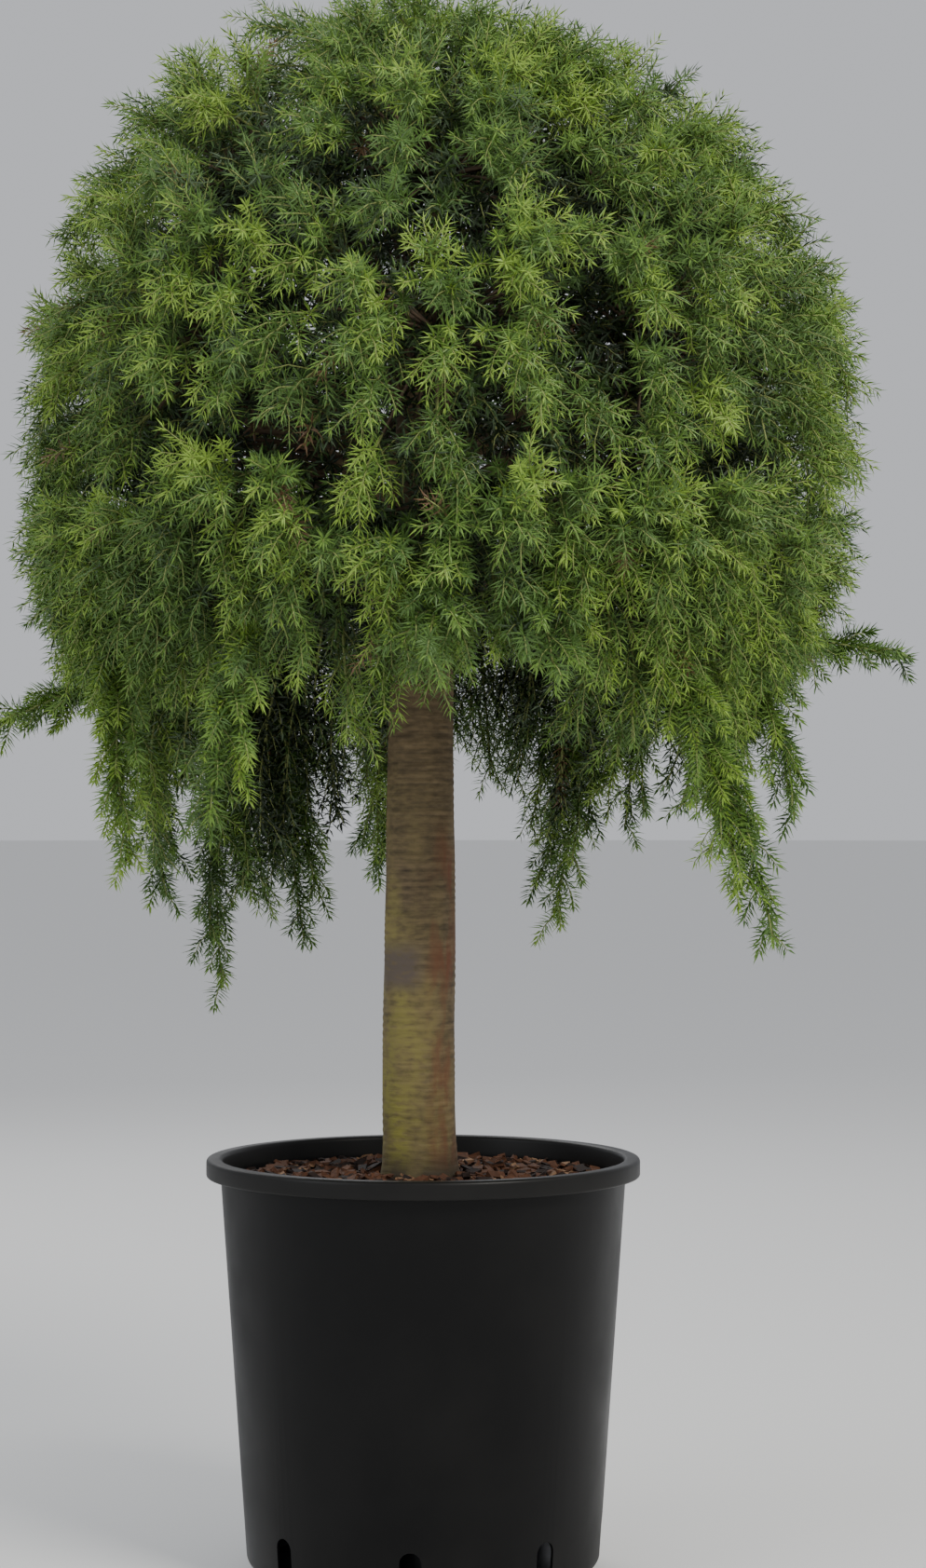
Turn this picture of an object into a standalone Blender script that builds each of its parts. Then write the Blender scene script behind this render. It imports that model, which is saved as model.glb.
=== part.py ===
"""Standard juniper in its nursery pot.

A clear stem carries an umbrella-shaped, weeping head of awl-shaped needles. The plant stands in a round
pot filled with bark mulch. Lengths are in metres and +Z is up. The origin is the centre of the pot's flat
underside, and the side that the plant is looked at from faces -Y.
"""

import math

import bmesh
import bpy
import numpy as np

# Clearance between neighbouring solids
GAP = 0.0003

# Pot: a 400 mm nursery pot with a rolled rim and drain slots round its foot
RIM_RADIUS = 0.205
POT_HEIGHT = 0.391
RIM_DEPTH = 0.017
RIM_ROUND = 0.0035
WALL_TOP_RADIUS = 0.1914
WALL_FOOT_RADIUS = 0.1667
FOOT_HEIGHT = 0.015
UNDERSIDE_RADIUS = 0.155
WALL = 0.003
FLOOR = 0.005
POT_SIDES = 36
SLOT_COUNT = 8
SLOT_WIDTH = 0.020
SLOT_FOOT = 0.009
SLOT_TOP = 0.055
SLOT_ARCH_STEPS = 6
FIRST_SLOT = math.radians(266.7)

# Growing medium: bark mulch, a finger's width under the rim
MEDIUM_HEIGHT = 0.372
MEDIUM_HEAP_RADIUS = 0.10
MEDIUM_SINK = 0.006
MEDIUM_PLAY = 0.0005

# Trunk: height above the pot's underside, radius
TRUNK_SIDES = 20
TRUNK_LEAN = -0.003
TRUNK_PROFILE = (
    (MEDIUM_HEIGHT + GAP, 0.0385),
    (0.385, 0.0360),
    (0.410, 0.0345),
    (0.600, 0.0335),
    (0.750, 0.0315),
    (0.900, 0.0285),
    (1.050, 0.0240),
    (1.130, 0.0190),
    (1.200, 0.0085),
)

# Head: a ball of foliage, open below and hollow inside
CENTRE = np.array((0.015, 0.0, 1.050))
SIDE_RADIUS = 0.411
TOP_RADIUS = 0.440
LOBE_DEPTH = 0.005
HOLLOW_RADIUS = 0.235
TOP_LEAN = math.radians(172.0)
TOP_LEAN_SIZE = 0.012

# Rings of masses, as elevations seen from the middle of the head
CAP_EDGE = math.radians(62.0)
UPPER_EDGE = math.radians(29.0)
MIDDLE_EDGE = math.radians(-8.0)
UPPER_COUNT = 5
MIDDLE_COUNT = 8
LOWER_COUNT = 10
UPPER_TURN = math.radians(54.0)
MIDDLE_TURN = math.radians(0.0)
LOWER_TURN = math.radians(23.0)
CELL_MARGIN = 0.0015

# Where the hanging skirt of each lower mass ends, from the +X side round
SKIRT_HEIGHTS = (0.76, 0.70, 0.68, 0.62, 0.65, 0.80, 0.78, 0.83, 0.74, 0.74)

# Long shoots that hang out of the skirt: azimuths of root and tip in degrees, reach and height of the tip
LONG_SHOOTS = (
    (12.0, 12.0, 0.485, 0.855),
    (58.0, 61.0, 0.270, 0.600),
    (46.0, 46.0, 0.290, 0.690),
    (97.0, 99.0, 0.330, 0.640),
    (124.0, 121.0, 0.240, 0.578),
    (139.0, 141.0, 0.262, 0.532),
    (160.0, 158.0, 0.275, 0.625),
    (176.0, 178.0, 0.410, 0.785),
    (208.0, 213.0, 0.310, 0.660),
    (240.0, 242.0, 0.378, 0.698),
    (270.0, 271.0, 0.400, 0.830),
    (287.0, 287.0, 0.385, 0.822),
    (308.0, 322.0, 0.390, 0.598),
    (348.0, 350.0, 0.350, 0.700),
)

# Boughs: for each ring the height of their roots on the trunk and their radius there
BOUGH_ROOTS = {"upper": (1.095, 0.0070), "middle": (1.000, 0.0080), "lower": (0.905, 0.0085)}
BOUGH_TIP_RADIUS = 0.0036
BOUGH_ARCH = 0.21
BOUGH_SIDES = 6
BOUGH_STEPS = 4
ROOT_STAGGER = 0.030
ROOT_OVAL = 1.6

# Sprays of needles: a slim core, rings of needles that stand out of it and lean forward
NEEDLES_A_RING = 3
SPRAY_CORE_RADIUS = 0.0042
NEEDLE_REACH = 0.024
NEEDLE_LEAN = 0.95
SPRAY_FADE = 0.35
RING_SPACING = 0.042
FEWEST_RINGS = 2
MOST_RINGS = 6
FIRST_RING = 0.36
LAST_RING = 0.84

# How sprays fill a mass, in shares of its cell, and how far they arch, in shares of their length
CAP_SPRAYS = 9
SPRAY_COUNTS = {"upper": 7, "middle": 6, "lower": 6}
CELL_FILL = 0.84
ROOT_SHARE = 0.80
CAP_ROOT_SHARE = 0.50
ROOT_LIFT = 0.45
ROOT_LIMIT = 0.70
ROOT_DEPTH = 0.070
CORE_HOLD = 0.15
TIP_PLAY = 0.006
SPRAY_ARCH = 0.22
LONG_ARCH = 0.12

# Skirt: how near the trunk it hangs, where its boughs enter, and how far down its cores go
SKIRT_REACH = 0.27
SKIRT_ENTRY = math.radians(11.0)
SKIRT_CORE_FLOOR = -0.30

# Stem and core of a mass
STEM_SIDES = 4
STEM_STEPS = 2
STEM_TAPER = 0.6
CORE_FILL = 0.96
CORE_GRID = 6
TUFT_DEPTH = 0.014
TUFT_PLAY = 0.05
TUFT_DROOP = 0.10
VALLEY_DEPTH = 0.052
CORE_DEPTH = 0.098

# Finishes
POT_COLOUR = (0.0086, 0.0086, 0.0086)
POT_ROUGHNESS = 0.45
MULCH_COLOUR = (0.045, 0.018, 0.010)
BARK_COLOUR = (0.120, 0.085, 0.035)
BARK_ROUGHNESS = 0.85
NEEDLE_COLOUR = (0.055, 0.110, 0.020)
NEEDLE_ROUGHNESS = 0.60

# Spread of points that fill a square evenly, the seed of each mass, and the turn between leaves on a stem
PLASTIC_STEPS = (0.7548776662, 0.5698402910)
SEED_STEP = 0.37
GOLDEN_TURN = math.radians(137.508)
FULL_TURN = 2.0 * math.pi
POLE = 0.5 * math.pi
SHARP_EDGE = math.radians(35.0)
STEEP = 0.9


def unit(vector):
    """The vector at length one."""
    return vector / np.linalg.norm(vector)


def direction(azimuth, elevation):
    """Unit vector from the middle of the head."""
    flat = math.cos(elevation)
    return np.array((flat * math.cos(azimuth), flat * math.sin(azimuth), math.sin(elevation)))


def head_radius(azimuth, elevation):
    """Distance from the middle of the head to its skin: round, taller than wide, softly lobed."""
    rise = max(0.0, math.sin(elevation))
    lobes = LOBE_DEPTH * math.sin(5.0 * azimuth + 1.3) * math.cos(3.0 * elevation)
    lobes += LOBE_DEPTH * math.sin(3.0 * azimuth + 4.0 * elevation)
    lean = TOP_LEAN_SIZE * rise * math.cos(azimuth - TOP_LEAN)
    ball = SIDE_RADIUS + (TOP_RADIUS - SIDE_RADIUS) * rise**2 + lobes + lean
    if elevation > 0.0:
        return ball
    return max(ball, SKIRT_REACH / math.cos(elevation))


def skirt_elevation(height):
    """Elevation at which the skin of the skirt has come down to a height."""
    drop = CENTRE[2] - height
    return -min(math.asin(min(1.0, drop / SIDE_RADIUS)), math.atan2(drop, SKIRT_REACH))


def bend(start, control, end, shares):
    """Points at given shares of the quadratic curve from start to end that leaves start towards control."""
    t = np.asarray(shares)[:, None]
    return (1.0 - t) ** 2 * start + 2.0 * t * (1.0 - t) * control + t**2 * end


def arch_point(start, end, share, way):
    """Control point of an arch from start to end that rises a share of its length, a given way."""
    return 0.5 * (start + end) + share * np.linalg.norm(end - start) * np.asarray(way)


def frames(path):
    """Tangents of a path, and two cross directions at each point, turned as little as possible."""
    tangents = np.gradient(path, axis=0)
    tangents /= np.linalg.norm(tangents, axis=1)[:, None]
    across = np.cross(tangents[0], (0.0, 0.0, 1.0) if abs(tangents[0][2]) < STEEP else (1.0, 0.0, 0.0))
    sides = []
    for tangent in tangents:
        across = unit(across - tangent * np.dot(across, tangent))
        sides.append(across)
    sides = np.array(sides)
    return tangents, sides, np.cross(tangents, sides)


def new_object(name, bm):
    """A scene object from a bmesh, with its faces turned outwards."""
    bmesh.ops.recalc_face_normals(bm, faces=bm.faces)
    mesh = bpy.data.meshes.new(name)
    bm.to_mesh(mesh)
    bm.free()
    item = bpy.data.objects.new(name, mesh)
    bpy.context.scene.collection.objects.link(item)
    return item


def skin(bm, rings, start=None, end=None):
    """Faces between neighbouring rings of vertices; each end is one flat face, or a fan to a point."""
    count = len(rings[0])
    for low, high in zip(rings, rings[1:]):
        for j in range(count):
            k = (j + 1) % count
            bm.faces.new((low[j], low[k], high[k], high[j]))
    for ring, point in ((rings[0], start), (rings[-1], end)):
        if point is None:
            bm.faces.new(ring)
        else:
            for j in range(count):
                bm.faces.new((ring[j], ring[(j + 1) % count], point))


def smooth(item):
    """Shades an object smooth but for its sharp edges."""
    item.data.shade_smooth()
    item.data.set_sharp_from_angle(angle=SHARP_EDGE)


def tube(name, path, radii, sides, first_plane=None):
    """A closed tapering limb along a path. first_plane is the normal that its first ring is cut to."""
    tangents, across, up = frames(path)
    bm = bmesh.new()
    rings = []
    for i, (point, radius) in enumerate(zip(path, radii)):
        ring = []
        for j in range(sides):
            angle = FULL_TURN * j / sides
            offset = radius * (math.cos(angle) * across[i] + math.sin(angle) * up[i])
            if i == 0 and first_plane is not None:
                offset -= tangents[0] * np.dot(offset, first_plane) / np.dot(tangents[0], first_plane)
            ring.append(bm.verts.new(point + offset))
        rings.append(ring)
    skin(bm, rings)
    return new_object(name, bm)


def spray_shape(path):
    """Root, rings and tip of a spray: odd points of a ring lie on its core, even ones are needle tips."""
    tangents, across, up = frames(path)
    count = 2 * NEEDLES_A_RING
    rings = []
    last = len(path) - 2
    for i in range(1, last + 1):
        fade = 1.0 - SPRAY_FADE * (i - 1) / last
        ring = []
        for j in range(count):
            needle = (i + j) % 2 == 0
            radius = fade * (NEEDLE_REACH if needle else SPRAY_CORE_RADIUS)
            lean = NEEDLE_LEAN * radius if needle else 0.0
            angle = FULL_TURN * j / count
            outward = math.cos(angle) * across[i] + math.sin(angle) * up[i]
            ring.append(path[i] + tangents[i] * lean + radius * outward)
        rings.append(ring)
    return path[0], rings, path[-1]


def spray(name, shape):
    """The closed solid of a spray."""
    root, rings, tip = shape
    bm = bmesh.new()
    grid = [[bm.verts.new(point) for point in ring] for ring in rings]
    count = len(grid[0])
    for i, (low, high) in enumerate(zip(grid, grid[1:]), start=1):
        for j in range(count):
            k = (j + 1) % count
            a, b, c, d = low[j], low[k], high[k], high[j]
            if (i + j) % 2 == 0:
                bm.faces.new((a, b, d))
                bm.faces.new((b, c, d))
            else:
                bm.faces.new((a, b, c))
                bm.faces.new((a, c, d))
    for ring, point in ((grid[0], root), (grid[-1], tip)):
        end = bm.verts.new(point)
        for j in range(count):
            bm.faces.new((ring[j], ring[(j + 1) % count], end))
    return new_object(name, bm)


def turned(name, profile, sides):
    """A solid turned from a profile of (radius, height) points whose first and last lie on the axis."""
    bm = bmesh.new()
    rings = []
    for radius, height in profile[1:-1]:
        angles = FULL_TURN * np.arange(sides) / sides
        rings.append([bm.verts.new((radius * math.cos(a), radius * math.sin(a), height)) for a in angles])
    start = bm.verts.new((0.0, 0.0, profile[0][1]))
    end = bm.verts.new((0.0, 0.0, profile[-1][1]))
    skin(bm, rings, start, end)
    return new_object(name, bm)


def joined_mesh(base, group, solver):
    """The mesh of the base joined to a group of solids, and whether every edge has its two faces."""
    join = base.modifiers.new("join", "BOOLEAN")
    join.operation = "UNION"
    join.operand_type = "COLLECTION"
    join.collection = group
    join.solver = solver
    depsgraph = bpy.context.evaluated_depsgraph_get()
    mesh = bpy.data.meshes.new_from_object(base.evaluated_get(depsgraph))
    base.modifiers.remove(join)
    return mesh, largest_body(mesh)


def union(name, solids):
    """One Boolean union joins the solids, is applied, and the loose solids are removed."""
    base, rest = solids[0], solids[1:]
    group = bpy.data.collections.new(name + "_loose")
    for item in rest:
        group.objects.link(item)
    for solver in ("EXACT", "MANIFOLD"):
        mesh, closed = joined_mesh(base, group, solver)
        if closed:
            break
    for item in solids:
        bpy.data.objects.remove(item)
    bpy.data.collections.remove(group)
    mesh.name = name
    joined = bpy.data.objects.new(name, mesh)
    bpy.context.scene.collection.objects.link(joined)
    return joined


def largest_body(mesh):
    """Keeps the largest connected body, so that a sealed hollow is filled and a scrap is dropped.

    Returns whether every edge of what is left has its two faces.
    """
    bm = bmesh.new()
    bm.from_mesh(mesh)
    bmesh.ops.triangulate(bm, faces=bm.faces)
    left = set(bm.faces)
    bodies = []
    while left:
        front = [left.pop()]
        body = []
        while front:
            face = front.pop()
            body.append(face)
            near = {other for edge in face.edges for other in edge.link_faces} & left
            left -= near
            front.extend(near)
        bodies.append(body)
    bodies.sort(key=lambda body: sum(face.calc_area() for face in body), reverse=True)
    scraps = [face for body in bodies[1:] for face in body]
    bmesh.ops.delete(bm, geom=scraps, context="FACES")
    closed = all(len(edge.link_faces) == 2 for edge in bm.edges)
    bm.to_mesh(mesh)
    bm.free()
    return closed


def pot_profile():
    """Outline of half the pot, from the middle of its underside round to the middle of its floor."""
    top = POT_HEIGHT
    lip = top - RIM_DEPTH
    return (
        (0.0, 0.0),
        (UNDERSIDE_RADIUS, 0.0),
        (WALL_FOOT_RADIUS, FOOT_HEIGHT),
        (WALL_TOP_RADIUS, lip),
        (RIM_RADIUS - 0.3 * RIM_ROUND, lip),
        (RIM_RADIUS, lip + RIM_ROUND),
        (RIM_RADIUS, top - RIM_ROUND),
        (RIM_RADIUS - RIM_ROUND, top),
        (WALL_TOP_RADIUS + RIM_ROUND, top),
        (WALL_TOP_RADIUS - 0.5 * WALL, top - RIM_ROUND),
        (WALL_TOP_RADIUS - WALL, lip),
        (WALL_FOOT_RADIUS - WALL, FOOT_HEIGHT),
        (UNDERSIDE_RADIUS, FLOOR),
        (0.0, FLOOR),
    )


def slot_cutter(index):
    """A guide that cuts one drain slot: a plate with an arched top, standing across the wall."""
    bm = bmesh.new()
    half = 0.5 * SLOT_WIDTH
    outline = [(-half, SLOT_FOOT), (half, SLOT_FOOT)]
    for step in range(SLOT_ARCH_STEPS + 1):
        angle = math.pi * step / SLOT_ARCH_STEPS
        outline.append((half * math.cos(angle), SLOT_TOP - half + half * math.sin(angle)))
    inner = [bm.verts.new((UNDERSIDE_RADIUS - 2.0 * WALL, x, z)) for x, z in outline]
    outer = [bm.verts.new((RIM_RADIUS, x, z)) for x, z in outline]
    skin(bm, [inner, outer])
    cutter = new_object(f"slot_guide_{index}", bm)
    cutter.rotation_euler.z = FIRST_SLOT + index * FULL_TURN / SLOT_COUNT
    cutter.hide_render = True
    cutter.display_type = "WIRE"
    return cutter


def make_pot():
    """The pot: a turned wall with a rolled rim, cut through by the drain slots."""
    pot = turned("pot", pot_profile(), POT_SIDES)
    slots = bpy.data.collections.new("slot_guides")
    bpy.context.scene.collection.children.link(slots)
    for index in range(SLOT_COUNT):
        cutter = slot_cutter(index)
        bpy.context.scene.collection.objects.unlink(cutter)
        slots.objects.link(cutter)
    cut = pot.modifiers.new("drain_slots", "BOOLEAN")
    cut.operation = "DIFFERENCE"
    cut.operand_type = "COLLECTION"
    cut.collection = slots
    cut.solver = "EXACT"
    smooth(pot)
    return pot


def wall_inside(height):
    """Inner radius of the pot at a height above its foot."""
    share = (height - FOOT_HEIGHT) / (POT_HEIGHT - RIM_DEPTH - FOOT_HEIGHT)
    return WALL_FOOT_RADIUS - WALL + share * (WALL_TOP_RADIUS - WALL_FOOT_RADIUS)


def make_medium():
    """The growing medium: fills the pot, level round the trunk and sinking a little towards the wall."""
    edge = MEDIUM_HEIGHT - MEDIUM_SINK
    profile = (
        (0.0, FLOOR + GAP),
        (UNDERSIDE_RADIUS - MEDIUM_PLAY, FLOOR + GAP),
        (WALL_FOOT_RADIUS - WALL - MEDIUM_PLAY, FOOT_HEIGHT),
        (wall_inside(edge) - MEDIUM_PLAY, edge),
        (MEDIUM_HEAP_RADIUS, MEDIUM_HEIGHT),
        (0.0, MEDIUM_HEIGHT),
    )
    return turned("growing_medium", profile, POT_SIDES)


def make_trunk():
    """The trunk: from a flat cut at the medium's surface, flared at its foot, to its tip in the head."""
    path = np.array([(TRUNK_LEAN, 0.0, height) for height, radius in TRUNK_PROFILE])
    trunk = tube("trunk", path, [radius for height, radius in TRUNK_PROFILE], TRUNK_SIDES)
    smooth(trunk)
    return trunk


def trunk_radius(height):
    """Radius of the trunk at a height."""
    heights = [row[0] for row in TRUNK_PROFILE]
    radii = [row[1] for row in TRUNK_PROFILE]
    return float(np.interp(height, heights, radii))


def cells():
    """Every mass but the top one: ring, number, middle azimuth, half width, lower and upper elevation."""
    for ring, count, turn, low, high in (
        ("upper", UPPER_COUNT, UPPER_TURN, UPPER_EDGE, CAP_EDGE),
        ("middle", MIDDLE_COUNT, MIDDLE_TURN, MIDDLE_EDGE, UPPER_EDGE),
        ("lower", LOWER_COUNT, LOWER_TURN, -POLE, MIDDLE_EDGE),
    ):
        half = math.pi / count
        for index in range(count):
            yield ring, index, turn + 2.0 * half * index, half, low, high


def turn_between(first, second):
    """Signed angle from the second azimuth to the first, the short way round."""
    return (first - second + math.pi) % FULL_TURN - math.pi


def inside(points, azimuth, half, low, high):
    """Whether every point lies in a mass's own space, clear of its neighbours and of the hollow."""
    arms = np.asarray(points) - CENTRE
    far = np.linalg.norm(arms, axis=1)
    flat = np.linalg.norm(arms[:, :2], axis=1)
    turn = half - np.abs(turn_between(np.arctan2(arms[:, 1], arms[:, 0]), azimuth))
    elevation = np.arctan2(arms[:, 2], flat)
    clear = far * np.sin(np.minimum(elevation - low, POLE)) > CELL_MARGIN
    clear &= far * np.sin(np.minimum(high - elevation, POLE)) > CELL_MARGIN
    clear &= far > HOLLOW_RADIUS
    if half < math.pi:
        clear &= flat * np.sin(np.minimum(turn, POLE)) > CELL_MARGIN
    return bool(clear.all())


def entry(azimuth, elevation):
    """Where a bough ends and its mass begins."""
    return CENTRE + direction(azimuth, elevation) * HOLLOW_RADIUS


def make_bough(ring, index, azimuth, elevation):
    """One bough: from the trunk's skin up and out to its mass. Returns it with its tip's direction."""
    root_height, root_radius = BOUGH_ROOTS[ring]
    height = root_height + ROOT_STAGGER * (index % 2)
    outward = direction(azimuth, 0.0)
    foot = np.array((TRUNK_LEAN, 0.0, height))
    start = foot + outward * (trunk_radius(height - ROOT_OVAL * root_radius) + GAP)
    end = entry(azimuth, elevation)
    control = arch_point(start, end, BOUGH_ARCH, (0.0, 0.0, 1.0))
    path = bend(start, control, end, np.linspace(0.0, 1.0, BOUGH_STEPS + 1))
    radii = np.linspace(root_radius, BOUGH_TIP_RADIUS, len(path))
    bough = tube(f"bough_{ring}_{index + 1:02d}", path, radii, BOUGH_SIDES, outward)
    smooth(bough)
    return bough, unit(path[-1] - path[-2])


def spread(count, seed):
    """Places of a mass's sprays across its cell: pairs from -1 to 1 that fill the square evenly."""
    steps = np.arange(1, count + 1)[:, None] * np.array(PLASTIC_STEPS) + SEED_STEP * seed
    return 2.0 * (steps % 1.0) - 1.0


def skin_point(place, a, b, depth=0.0):
    """Point of a mass under the skin of the head, at (a, b) across its cell."""
    azimuth, elevation = place(a, b)
    return CENTRE + direction(azimuth, elevation) * (head_radius(azimuth, elevation) - depth)


def cell_place(azimuth, half, low, high):
    """The way round and up that (a, b) stand for in a cell of a ring."""
    middle = 0.5 * (low + high)
    span = 0.5 * (high - low)
    return lambda a, b: (azimuth + half * a, middle + span * b)


def cap_place(a, b):
    """The way round and up that (a, b) stand for in the top mass: squares round the pole."""
    return math.atan2(b, a), POLE - (POLE - CAP_EDGE) * max(abs(a), abs(b))


def spoke_place(turn):
    """The way round and up at a share of the top mass's reach, along one spoke from the pole."""
    return lambda a, b: (turn, POLE - (POLE - CAP_EDGE) * a)


def core_shape(name, place, floor, seed):
    """A dense mass's core: a shell under the skin, from b = floor up, whose outside is a field of tufts.

    Points of its grid are tuft tips and valleys in turn. Its rim is a valley, and its inside a fan.
    """
    bm = bmesh.new()
    outer = {}
    for i in range(CORE_GRID + 1):
        for j in range(CORE_GRID + 1):
            a = CORE_FILL * (2.0 * i / CORE_GRID - 1.0)
            b = floor + (CORE_FILL - floor) * j / CORE_GRID
            depth = VALLEY_DEPTH
            rim = i in (0, CORE_GRID) or j in (0, CORE_GRID)
            if not rim and (i + j) % 2 == 0:
                play = math.sin(3.0 * i + 5.0 * j + 2.0 * seed)
                depth = TUFT_DEPTH * (1.0 + 0.5 * play)
                a += TUFT_PLAY * play
                b -= TUFT_DROOP
            outer[i, j] = bm.verts.new(skin_point(place, a, b, depth))
    for i in range(CORE_GRID):
        for j in range(CORE_GRID):
            p, q, r, s = outer[i, j], outer[i + 1, j], outer[i + 1, j + 1], outer[i, j + 1]
            for corners in ((p, q, s), (q, r, s)) if (i + j) % 2 == 0 else ((p, q, r), (p, r, s)):
                bm.faces.new(corners)
    line = range(CORE_GRID)
    rim = [outer[i, 0] for i in line] + [outer[CORE_GRID, j] for j in line]
    rim += [outer[CORE_GRID - i, CORE_GRID] for i in line] + [outer[0, CORE_GRID - j] for j in line]
    back = bm.verts.new(skin_point(place, 0.0, 0.5 * (floor + CORE_FILL), CORE_DEPTH))
    for first, second in zip(rim, rim[1:] + rim[:1]):
        bm.faces.new((second, first, back))
    return new_object(name, bm)


def spray_path(place, a, b, floor):
    """Root, control and tip of a spray that leaves the core, arches outwards and droops to the skin."""
    tip = skin_point(place, a, b, TIP_PLAY * (1.0 + math.sin(9.0 * a + 7.0 * b)))
    root_b = min(max(b + ROOT_LIFT, floor + CORE_HOLD), ROOT_LIMIT)
    root = skin_point(place, ROOT_SHARE * a, root_b, ROOT_DEPTH)
    return root, arch_point(root, tip, SPRAY_ARCH, unit(root - CENTRE)), tip


def long_path(place, azimuth, half, shoot):
    """Root, control and tip of a long shoot that hangs out of the skirt, or nothing if it isn't here."""
    root_turn, tip_turn = math.radians(shoot[0]), math.radians(shoot[1])
    across = turn_between(root_turn, azimuth) / half
    if abs(across) > 1.0:
        return None
    tip = shoot[2] * direction(tip_turn, 0.0) + (0.0, 0.0, shoot[3])
    root = skin_point(place, ROOT_SHARE * across, SKIRT_CORE_FLOOR + CORE_HOLD, ROOT_DEPTH)
    return root, arch_point(root, tip, LONG_ARCH, direction(tip_turn, 0.0) + (0.0, 0.0, 0.5)), tip


def cap_path(number):
    """Root, control and tip of one of the top mass's sprays, which stand in a spiral round the pole."""
    place = spoke_place(number * GOLDEN_TURN)
    fall = CELL_FILL * math.sqrt((number + 0.3) / CAP_SPRAYS)
    tip = skin_point(place, fall, 0.0)
    root = skin_point(place, CAP_ROOT_SHARE * fall, 0.0, ROOT_DEPTH)
    return root, arch_point(root, tip, SPRAY_ARCH, unit(root - CENTRE)), tip


def make_mass(name, start, heading, place, floor, paths, space, seed):
    """One mass of foliage: a stem from its bough's tip, a core, and sprays that stand out of it.

    A spray whose needles would leave the mass's own space is skipped.
    """
    hub = skin_point(place, 0.0, 0.5 * (floor + CORE_FILL), 0.5 * (VALLEY_DEPTH + CORE_DEPTH))
    control = start + heading * 0.5 * np.linalg.norm(hub - start)
    path = bend(start, control, hub, np.linspace(0.0, 1.0, STEM_STEPS + 1))
    radii = np.linspace(BOUGH_TIP_RADIUS, STEM_TAPER * BOUGH_TIP_RADIUS, len(path))
    solids = [tube(name + "_stem", path, radii, STEM_SIDES, heading)]
    solids.append(core_shape(name + "_core", place, floor, len(paths) + seed))
    for number, (root, arch, tip) in enumerate(paths):
        rings = min(MOST_RINGS, max(FEWEST_RINGS, round(np.linalg.norm(tip - root) / RING_SPACING)))
        shares = [0.0, *np.linspace(FIRST_RING, LAST_RING, rings), 1.0]
        shape = spray_shape(bend(root, arch, tip, shares))
        if inside(np.vstack([*shape[1], shape[2]]), *space):
            solids.append(spray(f"{name}_spray_{number}", shape))
    return union(name, solids)


def make_top_mass():
    """The top mass, whose stem stands on the tip of the trunk."""
    start = np.array((TRUNK_LEAN, 0.0, TRUNK_PROFILE[-1][0] + GAP))
    heading = np.array((0.0, 0.0, 1.0))
    paths = [cap_path(number) for number in range(CAP_SPRAYS)]
    space = (0.0, math.pi, CAP_EDGE, math.pi)
    return make_mass("foliage_top", start, heading, cap_place, -CORE_FILL, paths, space, 0)


def make_ring_mass(ring, index, azimuth, half, low, high):
    """One bough and the mass that it carries."""
    space = (azimuth, half, low, high)
    floor = -CORE_FILL
    elevation = 0.5 * (low + high)
    skirt = ring == "lower"
    if skirt:
        low = skirt_elevation(SKIRT_HEIGHTS[index])
        floor = SKIRT_CORE_FLOOR
        elevation = high - SKIRT_ENTRY
    place = cell_place(azimuth, half, low, high)
    places = CELL_FILL * spread(SPRAY_COUNTS[ring], index)
    paths = [spray_path(place, a, b, floor) for a, b in places]
    if skirt:
        long_paths = [long_path(place, azimuth, half, shoot) for shoot in LONG_SHOOTS]
        paths += [path for path in long_paths if path is not None]
    bough, heading = make_bough(ring, index, azimuth, elevation)
    start = entry(azimuth, elevation) + heading * GAP
    name = f"foliage_{ring}_{index + 1:02d}"
    return bough, make_mass(name, start, heading, place, floor, paths, space, index)


def finish(item, colour, roughness):
    """Gives an object its own Principled material."""
    material = bpy.data.materials.new(item.name + "_finish")
    material.use_nodes = True
    shader = material.node_tree.nodes["Principled BSDF"]
    shader.inputs["Base Color"].default_value = (*colour, 1.0)
    shader.inputs["Roughness"].default_value = roughness
    shader.inputs["Metallic"].default_value = 0.0
    item.data.materials.clear()
    item.data.materials.append(material)


def main():
    """Builds the plant and its pot."""
    for item in list(bpy.data.objects):
        bpy.data.objects.remove(item)
    finish(make_pot(), POT_COLOUR, POT_ROUGHNESS)
    finish(make_medium(), MULCH_COLOUR, 1.0)
    finish(make_trunk(), BARK_COLOUR, BARK_ROUGHNESS)
    plant = [make_top_mass()]
    for cell in cells():
        plant.extend(make_ring_mass(*cell))
    for item in plant:
        leafy = item.name.startswith("foliage")
        finish(item, NEEDLE_COLOUR if leafy else BARK_COLOUR, NEEDLE_ROUGHNESS if leafy else BARK_ROUGHNESS)


main()
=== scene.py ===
"""Looks of a potted weeping standard juniper.

The plant grows by the same rule as its solids: rings of masses under a rounded skin, each with branches that
arch outwards and droop. Here every branch carries side shoots, and every shoot carries whorls of needles.
Lengths are in metres, +Z is up, and the plant is looked at from the -Y side.
"""

import math

import bpy
import numpy as np
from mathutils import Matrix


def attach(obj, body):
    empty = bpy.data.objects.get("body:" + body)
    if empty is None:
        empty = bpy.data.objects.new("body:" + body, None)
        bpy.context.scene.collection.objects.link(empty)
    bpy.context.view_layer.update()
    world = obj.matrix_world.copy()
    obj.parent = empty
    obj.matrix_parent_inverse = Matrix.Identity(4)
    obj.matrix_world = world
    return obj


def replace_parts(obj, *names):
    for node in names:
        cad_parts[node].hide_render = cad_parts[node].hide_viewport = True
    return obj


bl_info = {
    "name": "Potted weeping juniper",
    "version": (1, 0, 0),
    "blender": (4, 5, 0),
    "location": "3D View > Sidebar > Juniper",
    "description": "Grows the needles, bark, mulch and pot of a weeping standard juniper",
    "category": "Object",
}

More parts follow.
